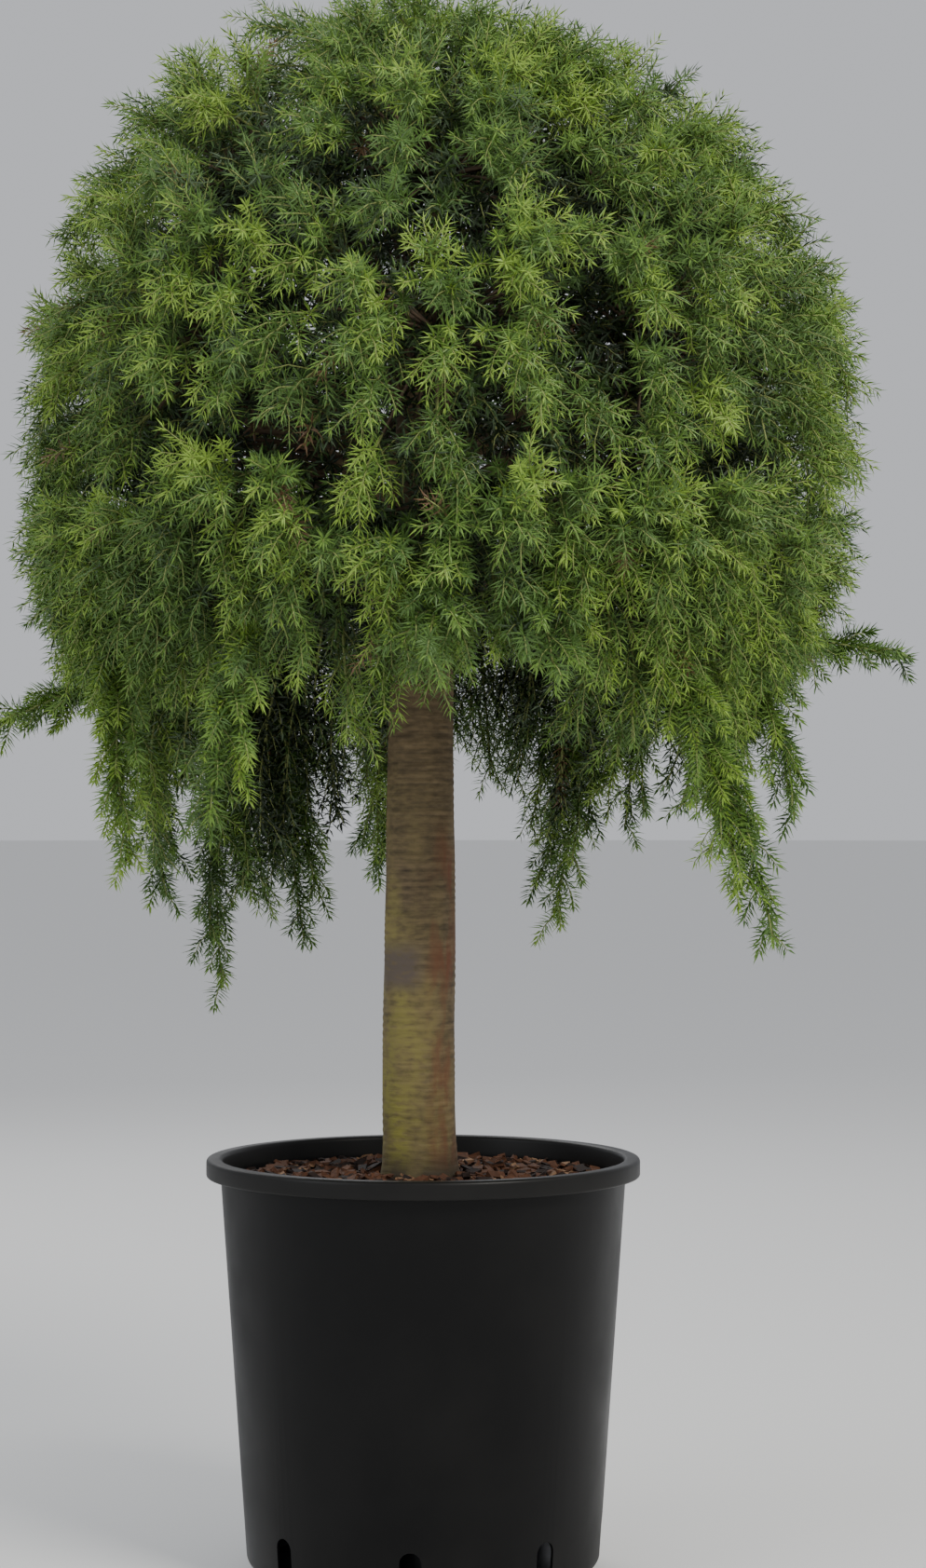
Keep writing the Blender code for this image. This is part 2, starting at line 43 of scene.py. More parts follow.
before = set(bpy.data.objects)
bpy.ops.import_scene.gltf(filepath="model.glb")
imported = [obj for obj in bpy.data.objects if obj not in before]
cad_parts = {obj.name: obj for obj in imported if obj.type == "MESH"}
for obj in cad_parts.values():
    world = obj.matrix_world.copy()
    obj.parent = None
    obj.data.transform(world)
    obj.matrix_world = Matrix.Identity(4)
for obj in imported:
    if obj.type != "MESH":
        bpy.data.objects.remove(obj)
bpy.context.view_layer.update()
NODES = sorted(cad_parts)

# Directions and even spreading
UP = np.array((0.0, 0.0, 1.0))
FULL_TURN = 2.0 * math.pi
POLE = 0.5 * math.pi
GOLDEN_TURN = math.radians(137.508)
PLASTIC_STEPS = np.array((0.7548776662, 0.5698402910))
SEED_STEP = 0.37
SEED = 11

# Head: a ball of foliage, open below and hollow inside
CENTRE = np.array((0.015, 0.0, 1.050))
SIDE_RADIUS = 0.411
TOP_RADIUS = 0.440
LOBE_DEPTH = 0.005
HOLLOW_RADIUS = 0.235
TOP_LEAN = math.radians(172.0)
TOP_LEAN_SIZE = 0.012

# Rings of masses: name, number of masses, turn, lower and upper elevation
CAP_EDGE = math.radians(62.0)
UPPER_EDGE = math.radians(29.0)
MIDDLE_EDGE = math.radians(-8.0)
RINGS = (
    ("upper", 5, math.radians(54.0), UPPER_EDGE, CAP_EDGE),
    ("middle", 8, 0.0, MIDDLE_EDGE, UPPER_EDGE),
    ("lower", 10, math.radians(23.0), -POLE, MIDDLE_EDGE),
)

# Skirt: where each lower mass ends from the +X side round, its nearness to the trunk, its entry and floor
SKIRT_HEIGHTS = (0.76, 0.70, 0.68, 0.62, 0.65, 0.80, 0.78, 0.83, 0.74, 0.74)
SKIRT_REACH = 0.27
SKIRT_ENTRY = math.radians(11.0)
SKIRT_FLOOR = -0.30

# Drop below the middle of the head at which a skirt mass has the settings' number of branches
SKIRT_DROP = 0.24

# Smallest flat share of a direction, which keeps the skirt's skin near where it points straight down
LEAST_FLAT = 0.05

# Long shoots that hang out of the skirt: azimuths of root and tip in degrees, reach and height of the tip
LONG_SHOOTS = (
    (12.0, 12.0, 0.485, 0.855),
    (58.0, 61.0, 0.270, 0.600),
    (46.0, 46.0, 0.290, 0.690),
    (97.0, 99.0, 0.330, 0.640),
    (124.0, 121.0, 0.240, 0.578),
    (139.0, 141.0, 0.262, 0.532),
    (160.0, 158.0, 0.275, 0.625),
    (176.0, 178.0, 0.410, 0.785),
    (208.0, 213.0, 0.310, 0.660),
    (240.0, 242.0, 0.378, 0.698),
    (270.0, 271.0, 0.400, 0.830),
    (287.0, 287.0, 0.385, 0.822),
    (308.0, 322.0, 0.390, 0.598),
    (348.0, 350.0, 0.350, 0.700),
)

# A long shoot and the two beside it: share of its length, and shift to the side
LONG_GROUP = ((1.0, 0.0), (0.84, 0.022), (0.66, -0.024))
LONG_TIP_LIFT = 0.012
LONG_ARCH = 0.12
LONG_ARCH_RISE = 0.5

# How branches fill a mass, in shares of its cell, and how far they arch, in shares of their length
BORDER_WAVE = 0.07
TUFT_RELIEF = 0.013
ROOT_SHARE = 0.80
ROOT_LIFT = 0.45
ROOT_LIMIT = 0.70
ROOT_DEPTH = 0.070
CORE_HOLD = 0.15
MASS_FLOOR = -0.96
BRANCH_ARCH = 0.22
CAP_START = 0.3
CAP_PLAY = 0.010

# Layers of branches: depth of their tips under the skin, and the light on them, painted into their needles'
# colours
OUTER_LAYER = (0.010, 1.0)
INNER_LAYER = (0.055, 0.45)
DEEP_LAYER = (0.095, 0.0)
LONG_LIGHT = 0.9

# Deep branches for one inner branch, the top's branches for one of another mass, and the seeds' step by layer
DEEP_SHARE = 0.7
CAP_SHARE = 1.5
LAYER_STEP = 0.31

# Hub inside each mass that its limbs start from
HUB_DEPTH = 0.13
HUB_RISE = 0.1
CAP_HUB_DEPTH = 0.16
LIMB_ARCH = 0.08

# Lining of old twigs inside the head: its lowest elevation, how many it has behind each ring, how deep under
# the skin they start and end, and how far each runs round the head and down
LINING_EDGE = math.radians(-34.0)
LINING_COUNTS = {"upper": 80, "middle": 110, "lower": 70}
LINING_ROOT_DEPTH = 0.185
LINING_TIP_DEPTH = 0.120
LINING_TURN = 0.25
LINING_FALL = 0.12

# Twigs: radii, number of sides, and steps along each kind
LIMB_RADIUS = 0.0026
BRANCH_RADIUS = 0.0017
SHOOT_RADIUS = 0.0009
SHOOT_TIP_RADIUS = 0.0004
TWIG_SIDES = 3
LIMB_STEPS = 3
BRANCH_STEPS = 5
SHOOT_STEPS = 2

# Side shoots: where the first stands on its branch, lean in degrees, play in length, shortening towards the
# tip, and how far they bend forward and down. Branches from LONG_BRANCH on have twice as many.
FIRST_SHOOT = 0.12
SHOOT_LEAN = (34.0, 58.0)
SHOOT_LENGTHS = (0.65, 1.2)
SHOOT_SHORTENING = 0.45
SHOOT_FORWARD = 0.30
SHOOT_DROOP = 0.28
LONG_BRANCH = 0.19
INSIDE_SHOOTS = 0.62

# Needles: whorls of three, the bare foot of shoots and branches, and play in turn
WHORL = 3
FEWEST_WHORLS = 3
WHORL_START = 0.6
SHOOT_BARE = 0.06
BRANCH_BARE = 0.45
NEEDLE_TURN_PLAY = 0.35

# Needles: lean in degrees, its loss at the shoot's tip and its play, and the loss and play of their length
NEEDLE_LEAN = 74.0
NEEDLE_LEAN_LOSS = 38.0
NEEDLE_LEAN_PLAY = 9.0
NEEDLE_LENGTH_LOSS = 0.35
NEEDLE_LENGTHS = (0.78, 1.12)

# A needle's kite: where it is widest, how deep it is folded, how far it twists forward, and its faces
KITE_WIDEST = 0.34
KITE_FOLD = 0.35
KITE_TWIST = 0.2
KITE_FACES = np.array(((0, 1, 2), (0, 2, 3)))

# Most needles in one piece, at two triangles each
PIECE_NEEDLES = 90000

# Needles inside the head are fewer and wider: both factors by light, and those of the long shoots
COARSE_LIGHTS = (0.0, 0.45, 0.7)
COARSE_FACTORS = (1.8, 1.45, 1.0)
LONG_SPACING = 0.62
LONG_WIDTH = 1.35

# Plain colours of the needles, dealt out by tone: the light on their spray, painted in as lighter and darker
# shades, and their nearness to its tip. Deep is the darkest, a painted shade, and each of SHADES begins at
# its tone.
SHADES = ("tip_bright", "tip_soft", "young", "mature", "glaucous", "deep", "dead")
SHADE_TONES = (("mature", 0.62), ("young", 1.10), ("tip_soft", 1.58), ("tip_bright", 1.86))
PAINTED_LIGHT_TONE = 1.15
TIP_TONE = 0.55
TONE_PLAY = 0.25
BRANCH_LIGHT_PLAY = 0.16
SPRAY_LIGHT_PLAY = 0.12

# Mature sprays are glaucous where their play times GREY_RATE is past GREY_FROM, less its whole number
GREY_RATE = 97.0
GREY_FROM = 0.62
DEAD_SHARE = 0.006
NEEDLE_ROUGHNESS = 0.55
TWIG_ROUGHNESS = 0.7
WOOD_ROUGHNESS = 0.8

# Trunk: height and radius, and the boughs' roots on it
TRUNK_LEAN = -0.003
TRUNK_PROFILE = (
    (0.360, 0.0400),
    (0.372, 0.0385),
    (0.385, 0.0360),
    (0.410, 0.0345),
    (0.600, 0.0335),
    (0.750, 0.0315),
    (0.900, 0.0285),
    (1.050, 0.0240),
    (1.130, 0.0190),
    (1.200, 0.0085),
)
TRUNK_SWAY = 0.0012
TRUNK_TIP = 0.003
TRUNK_ROWS = 520
TRUNK_SIDES = 96
BOUGH_ROOTS = {"upper": (1.095, 0.0070), "middle": (1.000, 0.0080), "lower": (0.905, 0.0085)}
BOUGH_ARCH = 0.21
BOUGH_TIP_RADIUS = 0.0036
BOUGH_INSET = 0.012
BOUGH_REACH = 0.045
BOUGH_SIDES = 10
BOUGH_STEPS = 14
ROOT_STAGGER = 0.030

# Bark finish on a bough: its radii at foot and tip, in shares of the solid's
BARK_FOOT = 1.15
BARK_TIP = 0.8

# Places on the trunk where each finish fades in, from none to full: a height or a distance to the right
ALGAE_HEIGHT = (0.80, 0.42)
ALGAE_SIDE = (0.034, -0.020)
PEELED_HEIGHT = (0.72, 0.66)
PEELED_SIDE = (0.0, 0.016)
PATCH_FOOT = (0.545, 0.560)
PATCH_TOP = (0.600, 0.582)
PATCH_SIDE = (0.004, -0.010)
# Heights over which the trunk turns darker towards its foot at the mulch
FOOT_DARKENING_HEIGHT = (0.405, 0.378)

# Pot and medium
RIM_RADIUS = 0.205
POT_HEIGHT = 0.391
RIM_DEPTH = 0.017
WALL_TOP_RADIUS = 0.1914
WALL_FOOT_RADIUS = 0.1667
FOOT_HEIGHT = 0.015
UNDERSIDE_RADIUS = 0.155
WALL = 0.003
FLOOR = 0.005
POT_SIDES = 144
CORNER_STEPS = 5
CREASE = math.radians(35.0)
SLOT_COUNT = 8
SLOT_WIDTH = 0.020
SLOT_FOOT = 0.009
SLOT_TOP = 0.055
FIRST_SLOT = math.radians(266.7)
ARCH_POINTS = 13
MEDIUM_HEIGHT = 0.373
MEDIUM_RADIUS = 0.187
HEAP_FALL = 0.006
BED_RINGS = 60
BED_SIDES = 160
BED_START = 0.004

# Chips: clearance from the trunk, and from the edge in shares of their length, play in length and its limit,
# widths and thicknesses in shares of the length, play of the corners, tilt and roll in radians, and heights
# on the bed
CHIP_FOOT = 0.042
CHIP_CLEARANCE = 0.6
CHIP_VARIETY = 0.32
CHIP_LONGEST = 0.45
CHIP_WIDTHS = (0.35, 0.7)
CHIP_THICKNESSES = (0.14, 0.32)
CHIP_CORNERS = (0.62, 1.12)
CHIP_TILT = 0.30
CHIP_ROLL = 0.34
CHIP_HEIGHTS = (-0.001, 0.005)

# Colour of the bed in shares of the brown chips', and of the grain in shares of its chip's
BED_DARKENING = 0.6
GRAIN_DARKENING = 0.45

# The photograph's view
CAMERA_PLACE = (0.0375, -3.0, 0.725)
PHOTO_SIZE = (994, 1683)
FOCAL_PIXELS = 3401.0
HORIZON_ROW = 862.6
SENSOR = 36.0

# Studio: the floor's reach and sides, the soft light's colour, the point that the lights look at, and each
# light's place, size and colour
FLOOR_REACH = 60.0
FLOOR_SIDES = 96
SKY_COLOUR = (0.93, 0.95, 1.0, 1.0)
LIGHT_AIM = (0.0, 0.0, 0.85)
KEY_LIGHT = ((2.3, -2.6, 3.3), 1.6, (1.0, 0.97, 0.90))
FILL_LIGHT = ((-3.0, -2.0, 2.0), 2.4, (0.92, 0.96, 1.0))
BACK_LIGHT = ((-1.0, 3.0, 3.0), 2.0, (1.0, 1.0, 1.0))

# Sockets of a colour mix, whose names repeat for its other kinds
MIX_FIRST = 6
MIX_SECOND = 7
MIX_RESULT = 2


def colour_property(name, text, value):
    """A colour that the user can change."""
    return bpy.props.FloatVectorProperty(
        name=name, description=text, default=value, size=3, min=0.0, max=1.0, subtype="COLOR"
    )


def length_property(name, text, value):
    """A length that the user can change."""
    return bpy.props.FloatProperty(name=name, description=text, default=value, min=0.0, unit="LENGTH")


class FoliageSettings(bpy.types.PropertyGroup):
    """Sizes and colours of shoots and needles."""

    needle_length: length_property("Needle length", "Length of a full-grown needle", 0.0165)
    needle_width: length_property("Needle width", "Widest part of a needle", 0.0017)
    whorl_spacing: length_property("Whorl spacing", "Distance between whorls of three needles", 0.0041)
    shoot_length: length_property("Shoot length", "Length of a side shoot near the foot of its branch", 0.052)
    outer_branches: bpy.props.IntProperty(
        name="Outer branches", description="Branches of a mass that reach the skin", default=22, min=1
    )
    inner_branches: bpy.props.IntProperty(
        name="Inner branches", description="Branches of a mass that end under the skin", default=15, min=0
    )
    side_shoots: bpy.props.IntProperty(
        name="Side shoots", description="Side shoots on a branch", default=13, min=1
    )
    # Needle colours are partly painted light and shade: brighter on outer sprays, darker inside the head
    tip_bright: colour_property("Bright tips", "Newest growth in the light", (0.235, 0.370, 0.050))
    tip_soft: colour_property("Soft tips", "Newest growth elsewhere", (0.135, 0.245, 0.038))
    young: colour_property("Young needles", "This year's needles", (0.080, 0.160, 0.030))
    mature: colour_property("Mature needles", "Last year's needles", (0.044, 0.092, 0.020))
    glaucous: colour_property("Glaucous needles", "Needles showing a greyer side", (0.070, 0.112, 0.052))
    # Painted shade: the near-black of needles inside the head
    deep: colour_property("Deep needles", "Needles inside the head", (0.015, 0.030, 0.008))
    dead: colour_property("Dead needles", "Rusty needles", (0.130, 0.070, 0.030))
    twig: colour_property("Young twigs", "Pale green bark of shoots", (0.260, 0.300, 0.095))
    wood: colour_property("Old twigs", "Brown bark of branches", (0.085, 0.055, 0.032))


class BarkSettings(bpy.types.PropertyGroup):
    """Colours of the trunk and boughs."""

    shade: colour_property("Shaded bark", "Grey-brown of the furrows", (0.045, 0.034, 0.020))
    ridge: colour_property("Bark ridges", "Grey-brown of the ridges", (0.230, 0.165, 0.088))
    algae: colour_property("Algae", "Yellow-green film low on the trunk", (0.215, 0.195, 0.045))
    peeled: colour_property("Peeled bark", "Brick-red inner bark", (0.150, 0.060, 0.030))
    patch: colour_property("Mauve patch", "Weathered patch on the left", (0.100, 0.078, 0.066))
    relief: length_property("Relief", "Depth of the bark's rings and furrows", 0.0008)


class PotSettings(bpy.types.PropertyGroup):
    """Finish of the pot and of the mulch."""

    plastic: colour_property("Plastic", "Black nursery plastic", (0.0028, 0.0028, 0.0030))
    # Dust colour, also used for the painted highlight on the rim
    dust_and_rim_highlight: colour_property("Dust", "Dull film on the plastic", (0.0150, 0.0145, 0.0135))
    chip_dark: colour_property("Dark chips", "Wet bark", (0.022, 0.010, 0.006))
    chip_brown: colour_property("Brown chips", "Common bark", (0.120, 0.048, 0.022))
    chip_tan: colour_property("Tan chips", "Chips that show wood", (0.300, 0.170, 0.090))
    chip_count: bpy.props.IntProperty(
        name="Chips", description="Number of bark chips on the surface", default=1500, min=1
    )
    chip_size: length_property("Chip size", "Length of a common chip", 0.0130)


class StageSettings(bpy.types.PropertyGroup):
    """Floor, light and camera."""

    floor: colour_property("Floor", "Pale studio floor", (0.78, 0.78, 0.77))
    ambient: bpy.props.FloatProperty(name="Ambient", description="Strength of the soft light", default=0.62)
    key: bpy.props.FloatProperty(name="Key", description="Power of the main light in watts", default=150.0)
    fill: bpy.props.FloatProperty(name="Fill", description="Power of the fill light in watts", default=40.0)


def unit(vectors):
    """Rows at length one."""
    return vectors / np.maximum(np.linalg.norm(vectors, axis=-1, keepdims=True), 1e-9)


def direction(azimuth, elevation):
    """Unit vectors from the middle of the head: (cos e cos a, cos e sin a, sin e)."""
    azimuth, elevation = np.broadcast_arrays(azimuth, elevation)
    flat = np.cos(elevation)
    return np.stack((flat * np.cos(azimuth), flat * np.sin(azimuth), np.sin(elevation)), axis=-1)


def head_radius(azimuth, elevation):
    """Distance to the skin: side radius, more with the square of the rise, two waves of lobes and a lean."""
    rise = np.maximum(0.0, np.sin(elevation))
    lobes = LOBE_DEPTH * np.sin(5.0 * azimuth + 1.3) * np.cos(3.0 * elevation)
    lobes = lobes + LOBE_DEPTH * np.sin(3.0 * azimuth + 4.0 * elevation)
    lean = TOP_LEAN_SIZE * rise * np.cos(azimuth - TOP_LEAN)
    ball = SIDE_RADIUS + (TOP_RADIUS - SIDE_RADIUS) * rise**2 + lobes + lean
    skirt = SKIRT_REACH / np.maximum(np.cos(elevation), LEAST_FLAT)
    return np.where(elevation > 0.0, ball, np.maximum(ball, skirt))


def skin_point(azimuth, elevation, depth):
    """Points under the skin of the head."""
    reach = head_radius(azimuth, elevation) - depth
    return CENTRE + direction(azimuth, elevation) * reach[..., None]


def skirt_elevation(height):
    """Elevation at which the skin of the skirt has come down to a height."""
    drop = CENTRE[2] - height
    return -min(math.asin(min(1.0, drop / SIDE_RADIUS)), math.atan2(drop, SKIRT_REACH))


def arched(start, end, share, way):
    """Curves (start, control, end): the control point is the middle, raised a share of the length."""
    rise = share * np.linalg.norm(end - start, axis=-1, keepdims=True) * way
    return np.stack((start, 0.5 * (start + end) + rise, end), axis=1)


def along(curves, who, share):
    """Points and headings of quadratic curves: (1-t)^2 start + 2t(1-t) control + t^2 end, and its slope."""
    start, control, end = curves[who, 0], curves[who, 1], curves[who, 2]
    t = share[:, None]
    point = (1.0 - t) ** 2 * start + 2.0 * t * (1.0 - t) * control + t**2 * end
    slope = (1.0 - t) * (control - start) + t * (end - control)
    return point, unit(slope)


def cross_directions(ahead):
    """Two directions square to each heading."""
    across = unit(np.cross(ahead, np.array((0.13, 0.21, 0.97))))
    return across, np.cross(ahead, across)


def curve_lengths(curves):
    """Near lengths of the curves: half the chord and half the control polygon."""
    chord = np.linalg.norm(curves[:, 2] - curves[:, 0], axis=1)
    first = np.linalg.norm(curves[:, 1] - curves[:, 0], axis=1)
    second = np.linalg.norm(curves[:, 2] - curves[:, 1], axis=1)
    return 0.5 * (chord + first + second)


def add_piece(name, points, faces, material, slot, smooth=True):
    """A mesh object whose faces all have as many corners. With a slot it rides on the plant's one body."""
    mesh = bpy.data.meshes.new(name)
    count, sides = faces.shape
    mesh.vertices.add(len(points))
    mesh.vertices.foreach_set("co", np.ascontiguousarray(points, dtype=np.float32).ravel())
    mesh.loops.add(count * sides)
    mesh.loops.foreach_set("vertex_index", np.ascontiguousarray(faces, dtype=np.int32).ravel())
    mesh.polygons.add(count)
    mesh.polygons.foreach_set("loop_start", np.arange(0, count * sides, sides, dtype=np.int32))
    mesh.polygons.foreach_set("use_smooth", np.full(count, smooth))
    mesh.update(calc_edges=True)
    mesh.materials.append(material)
    piece = bpy.data.objects.new(name, mesh)
    bpy.context.scene.collection.objects.link(piece)
    if slot:
        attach(piece, "root")
    return piece


def tubes(curves, foot, tip, sides, steps):
    """Tapering tubes along curves: a ring of points at each step, and end faces where it has three sides."""
    count = len(curves)
    foot, tip = np.broadcast_to(foot, count), np.broadcast_to(tip, count)
    shares = np.linspace(0.0, 1.0, steps + 1)
    who = np.repeat(np.arange(count), steps + 1)
    centre, ahead = along(curves, who, np.tile(shares, count))
    across, up = cross_directions(ahead)
    radius = (foot[who] + (tip[who] - foot[who]) * np.tile(shares, count))[:, None, None]
    turn = FULL_TURN * np.arange(sides) / sides
    ring = np.cos(turn)[:, None] * across[:, None] + np.sin(turn)[:, None] * up[:, None]
    points = (centre[:, None] + radius * ring).reshape(-1, 3)
    ring_start = (np.arange(count)[:, None] * (steps + 1) + np.arange(steps)).ravel()[:, None] * sides
    here = np.arange(sides)
    after = (here + 1) % sides
    a, b = ring_start + here, ring_start + after
    c, d = b + sides, a + sides
    walls = np.concatenate((np.stack((a, b, c), -1), np.stack((a, c, d), -1)), axis=1).reshape(-1, 3)
    last = (np.arange(count)[:, None] * (steps + 1) + steps) * sides
    first = np.arange(count)[:, None] * (steps + 1) * sides
    ends = np.stack((last, last + 1, last + 2), -1).reshape(-1, 3)
    feet = np.stack((first, first + 2, first + 1), -1).reshape(-1, 3)
    return points, np.concatenate((walls, ends, feet) if sides == 3 else (walls,))


def merged(parts):
    """One mesh of several (points, faces) pairs."""
    offsets = np.cumsum([0] + [len(points) for points, faces in parts[:-1]])
    points = np.concatenate([points for points, faces in parts])
    faces = np.concatenate([faces + offset for (_, faces), offset in zip(parts, offsets)])
    return points, faces


def square_spread(count, seed):
    """Pairs from -1 to 1 that fill the square evenly."""
    steps = np.arange(1, count + 1)[:, None] * PLASTIC_STEPS + SEED_STEP * seed
    return (2.0 * (steps % 1.0) - 1.0).T


def border_wave(turn):
    """How far the border of a mass rises and falls round the head: two waves."""
    return BORDER_WAVE * (np.sin(5.0 * turn) + 0.7 * np.sin(9.0 * turn + 1.0))


def tuft_depth(turn, elevation):
    """How far under the skin shoots end: two crossed waves, so that tufts stand out of the mass."""
    around = np.sin(8.0 * turn + 2.0 * np.sin(5.0 * elevation))
    upward = np.sin(9.0 * elevation + 2.0 * np.sin(6.0 * turn))
    return TUFT_RELIEF * (1.0 + around * upward)


def cell_branches(azimuth, half, low, high, floor, count, seed, depth):
    """Branches of one mass: from under the skin, above where they end, arching out and drooping to it."""
    a, b = square_spread(count, seed)
    turn = azimuth + half * a
    middle, span = 0.5 * (low + high) + border_wave(turn), 0.5 * (high - low)
    elevation = middle + span * b
    tip = skin_point(turn, elevation, depth + tuft_depth(turn, elevation))
    root_b = np.minimum(np.maximum(b + ROOT_LIFT, floor + CORE_HOLD), ROOT_LIMIT)
    root = skin_point(azimuth + half * ROOT_SHARE * a, middle + span * root_b, ROOT_DEPTH + depth)
    return arched(root, tip, BRANCH_ARCH, unit(root - CENTRE))


def cap_branches(count, depth):
    """Branches of the top mass, in a spiral round the pole."""
    number = np.arange(count)
    fall = (POLE - CAP_EDGE) * np.sqrt((number + CAP_START) / count)
    turn = number * GOLDEN_TURN
    tip = skin_point(turn, POLE - fall, depth + CAP_PLAY * (1.0 + np.sin(7.0 * number)))
    root = skin_point(turn, POLE - 0.5 * fall, ROOT_DEPTH + depth)
    return arched(root, tip, BRANCH_ARCH, unit(root - CENTRE))


def lining(low, high, count):
    """Old twigs behind the masses of a ring: an even spiral of short branches between two elevations."""
    number = np.arange(count)
    rise = np.sin(low) + (np.sin(high) - np.sin(low)) * (number + 0.5) / count
    elevation = np.arcsin(rise)
    turn = number * GOLDEN_TURN
    root = skin_point(turn, elevation, LINING_ROOT_DEPTH)
    tip = skin_point(turn + LINING_TURN, elevation - LINING_FALL, LINING_TIP_DEPTH)
    return arched(root, tip, BRANCH_ARCH, unit(root - CENTRE))


def long_branches(azimuth, half, low, high):
    """Long shoots of a skirt mass, each with two shorter ones beside it, which change sides by turns."""
    middle, span = 0.5 * (low + high), 0.5 * (high - low)
    curves = []
    for number, (root_degrees, tip_degrees, reach, height) in enumerate(LONG_SHOOTS):
        across = ((math.radians(root_degrees) - azimuth + math.pi) % FULL_TURN - math.pi) / half
        if abs(across) > 1.0:
            continue
        root_turn = azimuth + half * ROOT_SHARE * across
        root = skin_point(root_turn, middle + span * (SKIRT_FLOOR + CORE_HOLD), ROOT_DEPTH)
        tip_turn = math.radians(tip_degrees)
        outward = direction(tip_turn, 0.0)
        tip = reach * outward + (0.0, 0.0, height + LONG_TIP_LIFT)
        side = direction(tip_turn + POLE, 0.0) * (1.0 if number % 2 else -1.0)
        way = outward + (0.0, 0.0, LONG_ARCH_RISE)
        for share, shift in LONG_GROUP:
            end = root + share * (tip - root) + shift * side
            curves.append(arched(root[None], end[None], LONG_ARCH, way)[0])
    return np.array(curves).reshape(-1, 3, 3)


def side_shoots(branches, count, size, seed):
    """Shoots round each branch by the golden turn, leaning forward and bending down at their tips."""
    rng = np.random.default_rng(seed)
    number = len(branches)
    who = np.repeat(np.arange(number), count)
    order = np.tile(np.arange(count), number)
    share = FIRST_SHOOT + (1.0 - FIRST_SHOOT) * (order + rng.random(len(who))) / count
    foot, ahead = along(branches, who, share)
    across, up = cross_directions(ahead)
    turn = (GOLDEN_TURN * order + FULL_TURN * rng.random(number)[who])[:, None]
    outward = np.cos(turn) * across + np.sin(turn) * up
    lean = np.radians(rng.uniform(*SHOOT_LEAN, len(who)))[:, None]
    heading = np.cos(lean) * ahead + np.sin(lean) * outward
    length = (size * (1.0 - SHOOT_SHORTENING * share) * rng.uniform(*SHOOT_LENGTHS, len(who)))[:, None]
    end = foot + length * unit(heading + SHOOT_FORWARD * ahead - SHOOT_DROOP * UP)
    return np.stack((foot, foot + 0.5 * length * heading, end), axis=1), who


def grown_shoots(branches, coarse, settings, seed):
    """Side shoots of a ring's branches, most on long ones and fewest on inner ones, and each one's branch."""
    long_ones = curve_lengths(branches) >= LONG_BRANCH
    inside = coarse > 1.0
    groups = (
        (long_ones, 2 * settings.side_shoots),
        (~long_ones & ~inside, settings.side_shoots),
        (~long_ones & inside, round(INSIDE_SHOOTS * settings.side_shoots)),
    )
    shoots, owners = [], []
    for offset, (chosen, count) in enumerate(groups):
        rows = np.flatnonzero(chosen)
        grown, parent = side_shoots(branches[rows], count, settings.shoot_length, seed + offset)
        shoots.append(grown)
        owners.append(rows[parent])
    return np.concatenate(shoots), np.concatenate(owners)


def needle_points(curves, bare, spacing, coarse, settings, seed):
    """Whorls of three folded kites along shoots: base, two sides at a third of the length, and tip.

    bare is the share of a shoot that has no needles. spacing and coarse are in shares of the settings' whorl
    spacing and needle width. Returns each needle's four points, its shoot and its share along it.
    """
    rng = np.random.default_rng(seed)
    leafy = curve_lengths(curves) * (1.0 - bare)
    counts = np.maximum(FEWEST_WHORLS, np.round(leafy / (spacing * settings.whorl_spacing))).astype(int)
    who = np.repeat(np.arange(len(curves)), counts)
    step = np.arange(len(who)) - np.repeat(np.cumsum(counts) - counts, counts)
    share = bare[who] + (1.0 - bare[who]) * (step + WHORL_START) / counts[who]
    who, step, share = (np.repeat(row, WHORL) for row in (who, step, share))
    third = np.tile(np.arange(WHORL), len(who) // WHORL)
    base, ahead = along(curves, who, share)
    across, up = cross_directions(ahead)
    play = rng.uniform(-NEEDLE_TURN_PLAY, NEEDLE_TURN_PLAY, len(who))
    turn = (third * FULL_TURN / WHORL + step * FULL_TURN / (2 * WHORL) + play)[:, None]
    outward = np.cos(turn) * across + np.sin(turn) * up
    play = rng.uniform(-NEEDLE_LEAN_PLAY, NEEDLE_LEAN_PLAY, len(who))
    lean = np.radians(NEEDLE_LEAN - NEEDLE_LEAN_LOSS * share**2 + play)[:, None]
    heading = np.cos(lean) * ahead + np.sin(lean) * outward
    length = settings.needle_length * (1.0 - NEEDLE_LENGTH_LOSS * share**3)
    length = (length * rng.uniform(*NEEDLE_LENGTHS, len(who)))[:, None]
    width = (coarse[who] * settings.needle_width)[:, None]
    side = unit(np.cross(heading, outward + KITE_TWIST * ahead)) * 0.5 * width
    fold = unit(np.cross(side, heading)) * KITE_FOLD * width
    middle = base + KITE_WIDEST * length * heading + fold
    points = np.stack((base, middle + side, base + length * heading, middle - side), axis=1)
    return points, who, share


def shade_of(share, light, dead, play):
    """Shade number of needles from their share along the shoot, their spray's painted light, and some play.
    """
    tone = PAINTED_LIGHT_TONE * light + TIP_TONE * share + play
    shade = np.full(len(share), SHADES.index("deep"))
    for name, start in SHADE_TONES:
        shade[tone > start] = SHADES.index(name)
    grey = (shade == SHADES.index("mature")) & (np.modf(GREY_RATE * play)[0] > GREY_FROM)
    shade[grey] = SHADES.index("glaucous")
    shade[dead] = SHADES.index("dead")
    return shade


